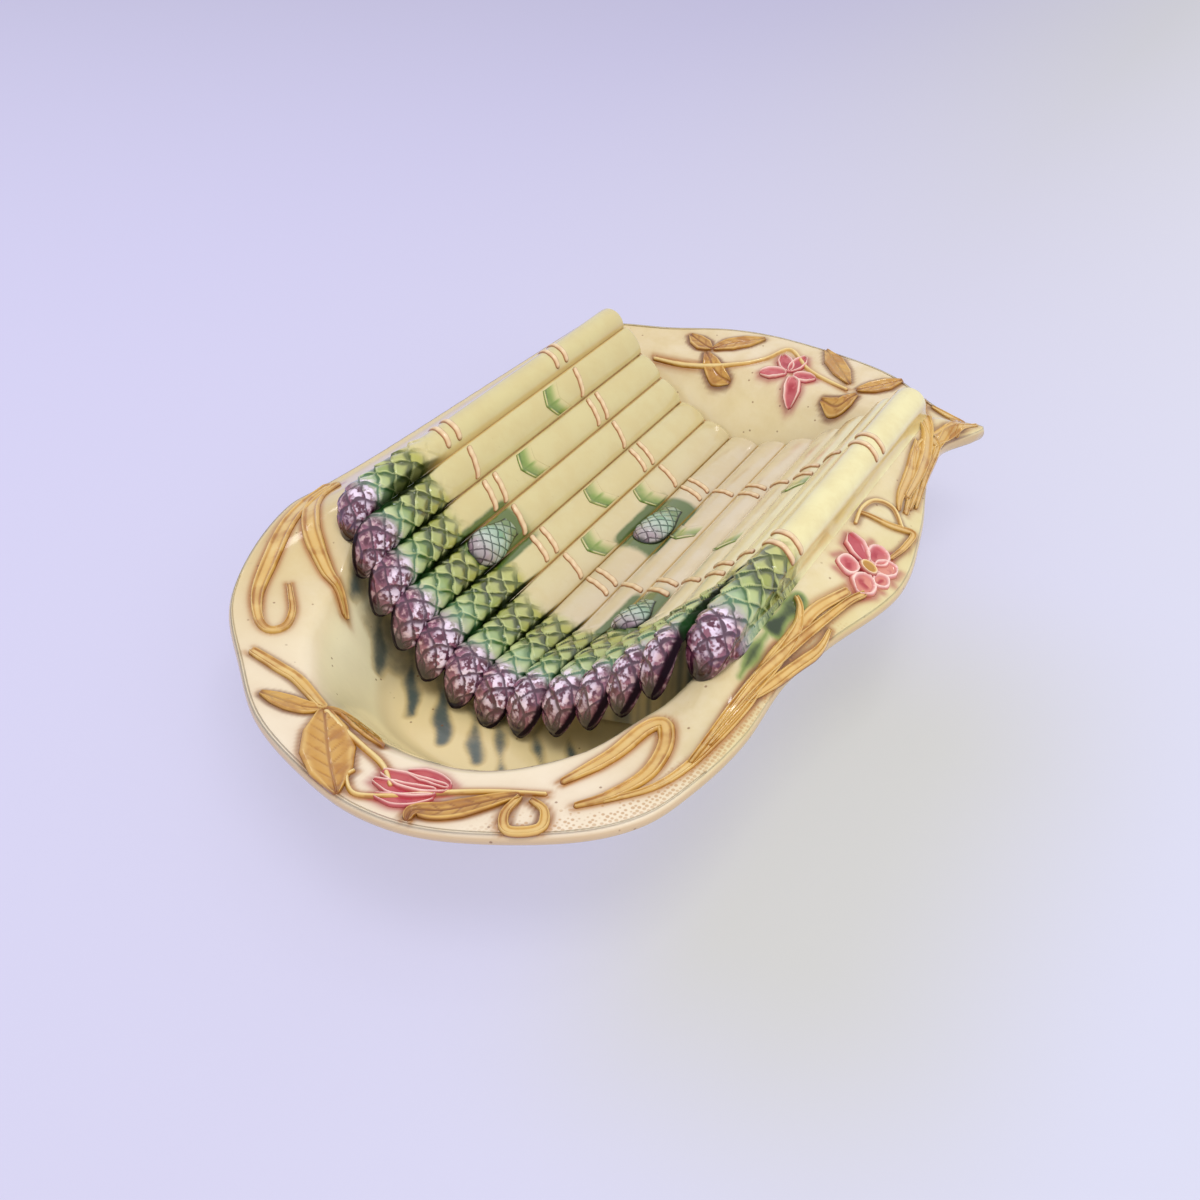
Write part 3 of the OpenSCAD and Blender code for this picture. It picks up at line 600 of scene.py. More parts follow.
head_ways = [nose_share * (1 - math.cos(math.radians(4 + 86 * i / 22))) for i in range(23)]
head_ways += [nose_share + (1.1 - nose_share) * i / 82 for i in range(1, 83)]
shaft_steps, end_steps = 26, 5


def spear_stations(i):
    """Places along a spear, close together on its head."""
    tip = spear_tip(i)
    rows = [tip + w * head_l for w in head_ways]
    last = rows[-1]
    rows += [last + (butt_y - 2 * mm - last) * s / shaft_steps for s in range(1, shaft_steps + 1)]
    return rows + [butt_y - 2 * mm * (1 - s / end_steps) for s in range(1, end_steps + 1)]


lattice = group("scale_lattice", [("Across", value), ("Along", value)],
                [("Line", value), ("Facet", value), ("Fall", value), ("Core", value),
                 ("Ridge", value)])
tree = lattice
ports_in = add(tree, "NodeGroupInput")
wave = sway(tree, noise(tree, object_place(tree), 150, 1), 0.5)
along = sums(tree, ports_in.outputs["Along"], wave, "ADD")
lean_a = sums(tree, along, ports_in.outputs["Across"], "ADD")
lean_b = sums(tree, along, ports_in.outputs["Across"], "SUBTRACT")
part_a, part_b = [add(tree, "ShaderNodeMath", {0: lean}, operation="FRACT").outputs[0]
                  for lean in (lean_a, lean_b)]
most = sums(tree, part_a, part_b, "MAXIMUM")
least = sums(tree, part_a, part_b, "MINIMUM")
line = sums(tree, spread(tree, most, 0.78, 0.93), spread(tree, least, 0.04, 0.0), "MAXIMUM")
step_a, step_b = [add(tree, "ShaderNodeMath", {0: lean}, operation="FLOOR").outputs[0]
                  for lean in (lean_a, lean_b)]
cell = add(tree, "ShaderNodeCombineXYZ", {"X": step_a, "Y": step_b})
facet = add(tree, "ShaderNodeTexWhiteNoise", {"Vector": cell.outputs[0]}).outputs["Value"]
middle_a, middle_b = [sums(tree, part, sums(tree, 1.0, part, "SUBTRACT"))
                      for part in (part_a, part_b)]
core = spread(tree, sums(tree, middle_a, middle_b), 0.012, 0.05)
ridge = sums(tree, spread(tree, least, 0.03, 0.08), spread(tree, least, 0.17, 0.11))
add(tree, "NodeGroupOutput", {"Line": line, "Facet": facet, "Fall": most, "Core": core,
                              "Ridge": ridge})


def shaft_colour(tree, skin):
    """Cream of the shafts, yellow at the left and paler at the right."""
    base = ramp(tree, spread(tree, axes_of(tree)["X"], -0.09, 0.09),
                [(0, (205, 194, 138)), (0.3, (206, 194, 146)), (0.55, (207, 192, 162)),
                 (0.8, (216, 201, 172)), (1, (226, 219, 166))])
    tint = sums(tree, spread(tree, skin["Mottle"], 0.62, 0.36), 0.25)
    return blend_colour(tree, tint, base, (196, 172, 112))


def pooled(spot):
    """How deep green glaze lies on the shafts round the loose heads."""
    deep = 0
    for _, i, tip_y, long, _ in loose_heads:
        mid = spear_seat(i)[0]
        off = math.hypot(spot.x - mid.x, spot.z - mid.z) / mm
        y = spot.y / mm - tip_y
        deep = max(deep, ease((14 - off) / 4) * ease((y + 7) / 7) * ease((long + 12 - y) / 11))
    return deep


def spear_paint(tree, skin):
    """Colours run from the tip to the shaft by how far the green reaches on each spear, with
    painted highlights on the bulbs and painted shade between and under the heads.
    """
    way = sums(tree, mark(tree, "green_way"), sway(tree, skin["Mottle"], 0.3), "ADD")
    scales = add(tree, "ShaderNodeGroup", {"Across": mark(tree, "scale_across"),
                                           "Along": mark(tree, "scale_along")},
                 node_tree=lattice)
    fleck = noise(tree, object_place(tree), 380)
    head = ramp(tree, way, [(0.0, (148, 90, 106)), (0.2, (144, 90, 116)),
                            (0.31, (172, 166, 160)), (0.42, (152, 180, 138)),
                            (0.56, (130, 154, 76)), (0.74, (136, 145, 50)),
                            (0.98, (166, 164, 62))])
    dark = ramp(tree, way, [(0.0, (64, 18, 44)), (0.26, (76, 46, 68)),
                            (0.37, (76, 120, 88)), (0.5, (40, 88, 26)),
                            (0.72, (34, 50, 0)), (0.95, (66, 80, 4))])
    purple = spread(tree, way, 0.33, 0.24)
    blotch = sums(tree, spread(tree, fleck, 0.5, 0.66), sums(tree, purple, 0.75))
    head = blend_colour(tree, blotch, head, (222, 188, 190))
    core = sums(tree, sums(tree, scales.outputs["Core"], spread(tree, fleck, 0.62, 0.4)), purple)
    head = blend_colour(tree, sums(tree, core, 0.9), head, (76, 18, 46))
    # Painted highlight: white lilac patches on the side of each purple bulb that faces the lamps.
    painted_highlight = sums(tree, mark(tree, "painted_highlight"), spread(tree, fleck, 0.43, 0.56))
    head = blend_colour(tree, sums(tree, painted_highlight, 0.9), head, (240, 224, 246))
    bright = sums(tree, spread(tree, scales.outputs["Facet"], 0, 1, 0.0, 0.5),
                  spread(tree, way, 0.3, 0.4))
    head = blend_colour(tree, bright, head, (200, 206, 142))
    base = blend_colour(tree, spread(tree, way, 0.96, 1.14), head, shaft_colour(tree, skin))
    fall = sums(tree, spread(tree, scales.outputs["Fall"], 0.4, 1.0, 0, 0.5),
                spread(tree, way, 1.08, 0.9))
    base = blend_colour(tree, fall, base, dark)
    broad = sums(tree, spread(tree, scales.outputs["Fall"], 0.58, 0.8), sums(
        tree, spread(tree, way, 0.38, 0.6), 0.85))
    lines = sums(tree, sums(tree, scales.outputs["Line"], broad, "MAXIMUM"),
                 spread(tree, way, 1.14, 0.95))
    base = blend_colour(tree, sums(tree, lines, 0.9), base, dark)
    ridge = sums(tree, scales.outputs["Ridge"], sums(tree, spread(tree, way, 1.0, 0.8),
                                                     spread(tree, way, 0.3, 0.42)))
    base = blend_colour(tree, sums(tree, ridge, 0.35), base, (214, 220, 154))
    # Painted shade: a near black line round the very tip, where the head turns under.
    tip_shade_line = spread(tree, mark(tree, "green_way"), 0.045, 0.0)
    base = blend_colour(tree, tip_shade_line, base, (26, 10, 18))
    pool = sums(tree, sums(tree, mark(tree, "pool"), spread(tree, way, 0.85, 1.1)),
                spread(tree, skin["Mottle"], 0.3, 0.62, 0.5, 1))
    base = blend_colour(tree, spread(tree, pool, 0.03, 0.5, 0, 0.9), base, (62, 94, 26))
    # The valley mark paints glaze pooled dark between the heads together with painted shade there,
    # and painted shade on the undersides near the tips.
    furrow = ramp(tree, way, [(0.2, (24, 10, 20)), (0.36, (26, 62, 26)),
                              (0.6, (18, 26, 4))])
    base = blend_colour(tree, mark(tree, "valley_and_underside_shade"), base, furrow)
    return blend_colour(tree, sums(tree, mark(tree, "groove"), 0.8), base, (196, 158, 74))


spear_glaze = glaze("spear_glaze", spear_paint)
tree = spear_glaze.node_tree
body = tree.nodes["Principled BSDF"]
# Coat and specular are turned down in the valleys and on the undersides, a painted shade of the
# reflections there.
open_face = spread(tree, mark(tree, "valley_and_underside_shade"), 0.0, 0.8, 1.0, 0.08)
tree.links.new(sums(tree, open_face, 0.6), body.inputs["Coat Weight"])
tree.links.new(sums(tree, open_face, 0.5), body.inputs["Specular IOR Level"])
for i in range(spear_count):
    rows = spear_stations(i)
    tip = spear_tip(i)
    green_end = green_ends[i] * mm
    half = spear_seat(i)[3]

    def spear_place(turn, way):
        """Top skin on four fifths of the rows round, the hidden belly on the rest."""
        y = rows[min(int(round(way * (len(rows) - 1))), len(rows) - 1)]
        angle = -10 + 200 * turn / 0.8 if turn < 0.8 else 190 + 160 * (turn - 0.8) / 0.2
        share = (y - tip) / head_l
        u = (angle - 90) / 90 * half * 1.25 / scale_w
        v = (y - tip) / scale_l + 1.1 * (1 - math.exp(-(y - tip) / (9 * mm)))
        fade = 1 - ease((share - 0.8) / 0.3)
        top = ease(math.sin(math.radians(angle)) * 2)
        lift = scale_rise * scale_height(u, v) * fade * top * ease(share / 0.05)
        side = abs(math.cos(math.radians(angle)))
        neck = ease((y - tip - 10 * mm) / (10 * mm)) * ease((green_end + 26 * mm - y) / (36 * mm))
        # The valley between neighbouring heads is pooled glaze and painted shade; the undersides
        # near the tips are painted shade.
        valley_and_underside_shade = ease((side - 0.98 + 0.26 * neck) / 0.1) * min(neck * 2.5, 1)
        low = max(side - 0.87, -0.09 * math.sin(math.radians(angle)))
        valley_and_underside_shade = max(valley_and_underside_shade, ease((tip + 26 * mm - y) / (14 * mm)) * ease(low / 0.1))
        groove = ease((side - 0.9) / 0.1) * ease((y - green_end) / (12 * mm))
        if abs(i - keel) == keel:
            groove *= 0.5
            valley_and_underside_shade *= 0.8
            if not 90 <= angle <= 180:
                valley_and_underside_shade *= 0.1
        green = (y - tip) / (green_end - tip)
        # The painted highlight sits on the lit side of each purple bulb, at a turn chosen by where
        # the lamps stand.
        lit = 112 if i <= keel else 84
        painted_highlight = ease((share - 0.01) / 0.06) * ease((0.38 - share) / 0.14) * ease(
            (48 - abs(angle - lit)) / 24)
        spot = spear_skin(i, y, angle, lift)
        return spot, (u, v, green, valley_and_underside_shade, groove, painted_highlight, pooled(spot))

    bm = bmesh.new()
    tube(bm, 56, len(rows) - 1, spear_place,
         ("scale_across", "scale_along", "green_way", "valley_and_underside_shade", "groove", "painted_highlight", "pool"))
    fire(bm, f"spear_{i + 1:02d}_glazed", spear_glaze, f"spear_{i + 1:02d}")


# Loose heads: three short cut heads laid on the shafts, covered with the same scales, smaller.
loose_spread, loose_nose = 72, 0.4


def loose_paint(tree, skin):
    """Purple at the blunt end, mint across the middle and green behind."""
    scales = add(tree, "ShaderNodeGroup", {"Across": mark(tree, "scale_across"),
                                           "Along": mark(tree, "scale_along")},
                 node_tree=lattice)
    way = mark(tree, "way")
    base = ramp(tree, way, [(0.0, (88, 50, 66)), (0.18, (160, 140, 150)),
                            (0.4, (168, 186, 170)), (0.6, (112, 158, 120)),
                            (0.85, (92, 120, 50))])
    bright = spread(tree, scales.outputs["Facet"], 0, 1, 0.0, 0.4)
    base = blend_colour(tree, bright, base, (206, 214, 204))
    dark = ramp(tree, way, [(0.1, (50, 26, 38)), (0.5, (30, 66, 48)),
                            (0.8, (40, 66, 24))])
    base = blend_colour(tree, sums(tree, scales.outputs["Line"], 0.85), base, dark)
    return blend_colour(tree, mark(tree, "edge"), base, (22, 36, 24))


scale_glaze = glaze("scale_glaze", loose_paint)
for name, i, tip_y, long, rise in loose_heads:
    def loose_place(turn, way):
        """Domed top on most of the turn, and the seat on the spear for the rest."""
        n = -1 + 2 * turn / 0.72 if turn < 0.72 else 1 - 2 * (turn - 0.72) / 0.28
        size = math.sqrt(1 - (1 - min(max(way, 0.002) / loose_nose, 1)) ** 2)
        size *= 1 - 0.5 * ease((way - 0.45) / 0.55)
        y = (tip_y + way * long) * mm
        angle = 90 - loose_spread * size * n
        u, v = n * size * 1.9, way * long / 5.6
        dome = math.cos(math.pi / 2 * abs(n)) ** 0.7 * min(size * 1.1, 1) * (1 - 0.6 * way ** 3)
        lift = 0.1 * mm
        if turn < 0.72:
            lift += (rise * dome + 0.7 * scale_height(u, v) * min(dome * 2, 1)) * mm
        edge = ease((abs(n) - 0.72) / 0.2) + ease((0.06 - way) / 0.06)
        return spear_skin(i, y, angle, lift), (u, v, way, min(edge, 1))

    bm = bmesh.new()
    tube(bm, 48, 56, loose_place, ("scale_across", "scale_along", "way", "edge"))
    fire(bm, f"{name}_glazed", scale_glaze, name)


# Bud scales: eight small pointed bracts on the shafts. Each is a low ridge with green glaze
# pooled behind it that thins out to the cream of the shaft.
bud_places = [(1, 0.37), (2, 0.08), (4, 0.22), (5, 0.02), (5, 0.38), (7, 0.24), (9, 0.12),
              (10, 0.44)]


def bud_paint(tree, skin):
    """Green over the shaft's cream, as thick as the mesh says."""
    green = ramp(tree, mark(tree, "pool"), [(0.0, (190, 192, 116)), (0.3, (138, 160, 74)),
                                            (0.7, (98, 128, 44)), (1.0, (58, 86, 16))])
    thick = sums(tree, spread(tree, mark(tree, "pool"), 0.0, 0.5), spread(
        tree, skin["Mottle"], 0.3, 0.6, 0.65, 1))
    return blend_colour(tree, thick, shaft_colour(tree, skin), green)


bud_glaze = glaze("bud_glaze", bud_paint)
bm = bmesh.new()
for i, share in bud_places:
    def bud_place(turn, way):
        """A bent sheet with a pointed front, just clear of the shaft."""
        n = -1 + 2 * turn / 0.6 if turn < 0.6 else 1 - 2 * (turn - 0.6) / 0.4
        y = (share * 133.6 + 5.5 * abs(n) ** 1.2 - 4 + 12 * way) * mm
        ridge = math.exp(-((way - 0.07) / 0.05) ** 2) * (1 - abs(n) ** 6)
        line = math.exp(-((way - 0.2) / 0.09) ** 2)
        pool = max(line * (0.7 + 0.3 * abs(n)), 0.82 * (1 - way)) * (1 - ridge)
        pool = max(pool, 0.85 * math.exp(-((n + 0.1) / 0.13) ** 2) * (1 - way) ** 0.5)
        pool = max(pool, 0.9 * ease((abs(n) - 0.8) / 0.2) * (n < 0) * (1 - way))
        lift = (-0.3 if turn >= 0.6 else 0.12 * (1 - way ** 2) + 0.75 * ridge) * mm
        return spear_skin(i, y, 90 - 60 * n, lift), (pool,)

    tube(bm, 40, 26, bud_place, ("pool",))
fire(bm, "bud_scales_glazed", bud_glaze, "bud_scales")


# Bindings: two rows of moulded twine, one strand or a pair of strands over each shaft, pale
# on top and brown where the glaze ran into the angles.
def twine_paint(tree, skin):
    """Pale pink brown on the crest, brown at the foot and at the ends."""
    base = ramp(tree, mark(tree, "rise"), [(0.0, (196, 158, 96)), (0.1, (160, 104, 58)),
                                           (0.36, (166, 114, 70)), (0.62, (208, 172, 128)),
                                           (1.0, (230, 208, 166))])
    return blend_colour(tree, mark(tree, "end"), base, (132, 74, 28))


twine_glaze = glaze("twine_glaze", twine_paint)
strand_w, strand_h = 3.0 * mm, 0.95 * mm
for name, row_y in (("front_binding", -13), ("rear_binding", 76)):
    bm = bmesh.new()
    for i in range(spear_count):
        side = 1 if i > keel else -1
        reach = 68 if abs(i - keel) == keel else 60
        for offset in ((-4, 4) if i % 2 == 0 else (0,)):
            def strand_place(turn, way):
                """A half round strand bent over the shaft."""
                turned = 2 * math.pi * turn
                angle = 90 - reach + 2 * reach * way
                end = max(1 - min(way, 1 - way) / 0.1, 0)
                size = math.sqrt(1 - 0.8 * end ** 2)
                slant = 2.9 * mm * side * (way - 0.5) * 2
                twist = 0.12 * mm * math.sin(6 * math.pi * way)
                y = (row_y + offset) * mm + slant + twist
                y += strand_w * 0.6 * math.cos(turned) * size
                lift = (strand_h * math.sin(turned) if turned < math.pi
                        else 0.5 * mm * math.sin(turned))
                crest = max(math.sin(turned), 0) ** 1.3 * (0.92 + 0.08 * math.cos(26 * way))
                return spear_skin(i, y, angle, lift * size), (crest, end ** 2)

            tube(bm, 18, 30, strand_place, ("rise", "end"))
    fire(bm, f"{name}_glazed", twine_glaze, name)


# Sprigs: leaves, reeds and stems pressed in small moulds and luted on the rim. Each has two
# raised edges that the glaze leaves pale, and honey brown pooled between and beside them.
def smooth_line(points, count):
    """Evenly spaced places in metres along a smooth line through (bearing, share) points."""
    knots = [np.array(rim_place(*p)) for p in points]
    knots = [2 * knots[0] - knots[1]] + knots + [2 * knots[-1] - knots[-2]]
    fine = [spline_point(*knots[i:i + 4], s / 16) for i in range(len(knots) - 3)
            for s in range(16)] + [knots[-2]]
    fine = np.array(fine)
    far = np.concatenate([[0], np.cumsum(np.linalg.norm(np.diff(fine, axis=0), axis=1))])
    even = np.linspace(0, far[-1], count)
    return np.stack([np.interp(even, far, fine[:, k]) for k in (0, 1)], axis=1), far[-1]


pool_edges, petal_edges = [], []


def sprig(bm, points, halves, rise=1.8, form="strap"):
    """A strap, leaf, stem or petal on the dish. halves are its half widths along it, in
    millimetres, and rise is its height."""
    count = 160
    line, long = smooth_line(points, count)
    aim = np.gradient(line, axis=0)
    aim /= np.linalg.norm(aim, axis=1)[:, None]
    widest = max(halves) * mm
    knots = np.linspace(0, 1, len(halves))

    def sprig_place(turn, way):
        """The top on four fifths of the turn, and the seat in the dish for the rest."""
        e = -1 + 2 * turn / 0.8 if turn < 0.8 else 1 - 2 * (turn - 0.8) / 0.2
        k = way * (count - 1)
        low = min(int(k), count - 2)
        mid = line[low] + (line[low + 1] - line[low]) * (k - low)
        ahead = aim[low]
        half = float(np.interp(way, knots, halves)) * mm
        near = min(way, 1 - way) * long
        end = max(0, 1 - near / max(half, 0.6 * mm))
        half *= math.sqrt(max(1 - end ** 2, 0.01))
        x = mid[0] - ahead[1] * e * half
        y = mid[1] + ahead[0] * e * half
        d = min((abs(e) ** 3 + end ** 3) ** (1 / 3), 1)
        skirt = math.sqrt(max(1 - d ** 6, 0))
        vein, tone = 0, 0
        if form == "stem":
            shape = 1 - d * d
        elif form == "strap":
            crest = math.exp(-((d - 0.74) / 0.16) ** 2)
            shape = 0.55 + 0.45 * crest
            tone = 0.26 - 0.34 * crest - 0.4 * math.exp(-((d - 0.48) / 0.15) ** 2)
        elif form == "leaf":
            side = (way * long / (6.2 * mm) + abs(e) * half / (5.4 * mm) + 0.2 * (e > 0)) % 1
            vein = max(math.exp(-(e * half / (0.45 * mm)) ** 2),
                       0.6 * math.exp(-((side - 0.5) / 0.08) ** 2) * (1 - d * d) ** 2)
            shape = 0.72 + 0.28 * math.exp(-((d - 0.82) / 0.13) ** 2) - 0.35 * vein
            tone = -0.17 - 1.26 * (1 - shape) * d
        else:
            shape = 0.3 + 0.7 * math.exp(-((d - 0.78) / 0.17) ** 2)
        h = (rise * shape * skirt - 0.25) * mm
        if turn > 0.8:
            h = (-0.25 - 0.5 * (1 - e * e)) * mm
        spot = Vector((x, y, dish_top(x, y))) + dish_normal(x, y) * h
        return spot, ((shape + tone) * skirt, vein, d, way)

    around = 26 if widest < 3 * mm else 44
    tube(bm, around, max(int(long / (0.9 * mm)), 16), sprig_place,
         ("rise", "vein", "out", "way"))
    for step in range(count):
        half = float(np.interp(step / (count - 1), knots, halves)) * mm
        for e in (-1, 1):
            edge = (line[step][0] - aim[step][1] * e * half,
                    line[step][1] + aim[step][0] * e * half, 0.0)
            (petal_edges if form == "petal" else pool_edges).append(edge)


def leaf_paint(tree, skin):
    """Honey brown that runs off the crests, darker towards the seat."""
    height = sums(tree, mark(tree, "rise"), sway(tree, skin["Mottle"], 0.5), "ADD")
    base = ramp(tree, height, [(0.02, (146, 90, 16)), (0.25, (186, 134, 40)),
                               (0.5, (198, 152, 70)), (0.78, (212, 176, 102)),
                               (1.0, (224, 200, 136))])
    base = blend_colour(tree, sums(tree, mark(tree, "vein"), 0.75), base, (142, 88, 34))
    patchy = noise(tree, object_place(tree), 90, 3)
    amber = sums(tree, spread(tree, patchy, 0.46, 0.62), spread(tree, height, 0.95, 0.6))
    base = blend_colour(tree, sums(tree, amber, 0.8), base, (164, 106, 30))
    scant = sums(tree, spread(tree, skin["Cloud"], 0.5, 0.3), spread(tree, height, 0.6, 0.2))
    base = blend_colour(tree, sums(tree, scant, 0.55), base, (216, 192, 122))
    dark = sums(tree, spread(tree, skin["Cloud"], 0.5, 0.66), spread(tree, height, 0.6, 0.2))
    base = blend_colour(tree, sums(tree, dark, 0.6), base, (120, 66, 20))
    ends = sums(tree, spread(tree, mark(tree, "way"), 0.16, 0.02),
                spread(tree, mark(tree, "way"), 0.86, 0.98), "MAXIMUM")
    ends = sums(tree, ends, spread(tree, height, 0.75, 0.3))
    return blend_colour(tree, sums(tree, ends, 0.6), base, (126, 70, 18))


leaf_glaze = glaze("leaf_glaze", leaf_paint)
sprigs = {
    "left_folded_leaf": [
        ([(203, 0.88), (215, 0.76), (226, 0.73), (233, 0.73), (239, 0.66), (242, 0.5),
          (242, 0.28), (239, 0.27), (235, 0.38), (232, 0.45)],
         (3.0, 4.0, 4.3, 4.2, 3.8, 3.0, 2.2, 1.9, 1.6, 1.2), 1.7, "strap")],
    "left_long_leaf": [
        ([(203, 0.74), (210, 0.66), (220, 0.45), (229, 0.17), (235, -0.03), (239, -0.08)],
         (2.6, 4.2, 4.4, 4.0, 2.8, 1.0), 1.7, "strap")],
    "front_spray": [
        ([(245, 0.78), (250, 0.31), (253, 0.02), (258, -0.02), (260, -0.02)],
         (2.2, 2.8, 2.6, 2.2), 1.7, "strap"),
        ([(260, -0.02), (265, -0.01), (269, 0.02), (273, 0.17), (276, 0.47)],
         (1.8, 1.8, 1.6, 1.2), 1.5, "stem"),
        ([(260, -0.02), (258, 0.15), (253, 0.76)], (1.6, 3.8, 4.4, 3.4, 0.8), 1.7, "leaf"),
        ([(260, -0.02), (267, 0.49), (272, 0.95)], (2.0, 8.2, 10, 7.6, 1.0), 1.9, "leaf"),
        ([(260, -0.02), (262, -0.06), (271, -0.02)], (1.4, 3.2, 3.5, 2.6, 0.6), 1.7, "leaf")],
    "front_tendril": [
        ([(271, 0.44), (271, 0.62), (273, 0.79), (275, 0.71), (278, 0.51), (282, 0.31),
          (287, 0.28), (293, 0.43)], (0.9, 1.3, 1.4, 1.3, 1.1), 1.5, "stem")],
    "front_curled_leaf": [
        ([(280, 0.91), (280, 0.72), (283, 0.63), (288, 0.41), (290, 0.39)],
         (1.4, 4.2, 4.6, 3.4, 1.4), 1.8, "leaf"),
        ([(290, 0.39), (289, 0.66), (290, 0.92), (293, 0.9), (293, 0.66), (291, 0.46)],
         (1.2, 1.9, 2.2, 2.0, 1.2), 1.7, "strap")],
    "right_folded_leaf": [
        ([(294, 0.3), (300, 0.17), (305, 0.09), (308, 0.16), (307.5, 0.4), (304.5, 0.58),
          (300, 0.64), (296, 0.66)], (1.2, 3.0, 3.4, 3.4, 3.2, 3.0, 2.4, 1.0), 1.8, "strap")],
    "right_reeds": [
        ([(299, 0.68), (305, 0.75), (310, 0.77), (315, 0.74), (321, 0.7), (327, 0.59),
          (336, 0.53), (346, 0.47), (357, 0.57)], (0.8, 2.0, 2.6, 2.6, 2.2), 1.5, "strap"),
        ([(310, 0.77), (318, 0.62), (326, 0.58), (338, 0.64), (353, 0.67), (359, 0.73)],
         (0.8, 2.0, 2.2, 2.0, 1.6), 2.6, "strap"),
        ([(313, 0.75), (320, 0.65), (336, 0.53), (342, 0.31), (344, 0.09)],
         (0.8, 2.4, 2.8, 2.4, 0.8), 2.1, "strap"),
        ([(321, 0.7), (332, 0.95), (340, 1.0), (346, 0.82)], (0.8, 2.6, 2.8, 0.8), 1.6, "strap")],
    "reed_loops": [
        ([(17, 0.13), (24, 0.07), (28, 0.17), (28, 0.48), (23, 0.72)],
         (1.1, 1.3, 1.3, 1.1), 1.5, "stem"),
        ([(22, 0.08), (22, 0.46), (23, 0.86), (18, 0.82), (12, 0.7)],
         (0.9, 1.7, 1.7, 1.1), 1.6, "strap")],
    "corner_reeds": [
        ([(28, 0.68), (40, 0.67), (47, 0.42), (51, 0.59), (53, 0.57), (54, 0.93)],
         (1.2, 2.2, 2.4, 2.0, 0.8), 1.5, "strap"),
        ([(68, -0.15), (62, -0.04), (61, 0.04), (50, 0.36), (43, 0.7), (33, 0.6)],
         (1.0, 2.4, 2.8, 2.6, 1.4), 2.7, "strap"),
        ([(64, 0.94), (52, 0.15), (50, 0.81), (41, 0.91), (31, 0.82)],
         (0.8, 2.0, 2.2, 1.8, 0.8), 2.1, "strap"),
        ([(57, 0.75), (54.5, 0.62), (51.5, 0.7), (46, 0.86), (38, 0.8), (30, 0.72)],
         (0.8, 1.8, 2.2, 2.0, 1.0), 1.5, "strap"),
        ([(49, 0.12), (45, 0.36), (40, 0.5), (33, 0.5), (28, 0.56)],
         (0.8, 2.0, 2.4, 2.0, 0.8), 1.5, "strap"),
        ([(62, 0.86), (58, 0.88), (55, 0.78), (52, 0.9)], (0.8, 1.8, 1.8, 0.8), 1.4, "strap")],
    "rear_spray": [
        ([(108, 0.7), (105, 0.38), (103, 0.26)], (0.8, 5.0, 5.6, 1.2), 1.8, "leaf"),
        ([(103, 0.26), (100, 0.52), (95, 0.83)], (1.2, 5.6, 5.2, 0.8), 1.8, "leaf"),
        ([(104, 0.16), (101, -0.04), (97, -0.06)], (1.2, 4.6, 4.8, 0.8), 1.8, "leaf"),
        ([(76, 0.31), (81, 0.67), (85, 0.97)], (1.2, 5.2, 5.6, 0.8), 1.8, "leaf"),
        ([(74, 0.21), (72, 0.54), (70, 1.0)], (1.2, 5.0, 5.2, 0.8), 1.8, "leaf"),
        ([(73, 0.14), (74, -0.04), (78, -0.04)], (1.0, 4.2, 4.4, 0.8), 1.7, "leaf"),
        ([(114, -0.04), (106, -0.04), (98, -0.01), (93, 0.28), (90, 0.7), (84, 0.32),
          (75, 0.14)], (1.2, 1.7, 1.7, 1.5), 1.6, "stem")],
}
for name, parts in sprigs.items():
    bm = bmesh.new()
    for points, halves, rise, form in parts:
        sprig(bm, points, halves, rise, form)
    fire(bm, f"{name}_glazed", leaf_glaze, name)


# Flowers and bud: pink petals with pale raised edges and crimson where the glaze is deep. The
# open flower has an oval yellow brown centre.
def petal_paint(tree, skin):
    """Cream pink on the edges, pink in the hollow, crimson at the seat and all over the bud."""
    height = sums(tree, mark(tree, "rise"), sway(tree, skin["Mottle"], 0.4), "ADD")
    base = ramp(tree, height, [(0.02, (138, 26, 40)), (0.25, (178, 66, 76)),
                               (0.45, (204, 112, 112)), (0.7, (228, 174, 166)),
                               (1.0, (244, 222, 208))])
    salmon = sums(tree, spread(tree, skin["Cloud"], 0.45, 0.6), spread(tree, height, 0.6, 0.3))
    base = blend_colour(tree, sums(tree, salmon, 0.6), base, (222, 160, 130))
    core = sums(tree, spread(tree, mark(tree, "way"), 0.75, 0.5),
                spread(tree, mark(tree, "way"), 0.2, 0.45))
    spots = noise(tree, object_place(tree), 160)
    core = sums(tree, core, sums(tree, spread(tree, mark(tree, "out"), 0.6, 0.25),
                                 spread(tree, spots, 0.44, 0.56)))
    base = blend_colour(tree, sums(tree, core, 0.9), base, (162, 30, 48))
    front = sums(tree, spread(tree, axes_of(tree)["Y"], -0.05, -0.1, 0, 0.75),
                 spread(tree, height, 0.95, 0.45))
    return blend_colour(tree, front, base, (176, 44, 66))


def centre_paint(tree, skin):
    """Yellow brown with a pale rim."""
    return ramp(tree, mark(tree, "rise"), [(0.0, (170, 70, 70)), (0.3, (232, 206, 168)),
                                           (0.55, (226, 190, 128)), (0.8, (188, 142, 50)),
                                           (1.0, (174, 124, 36))])


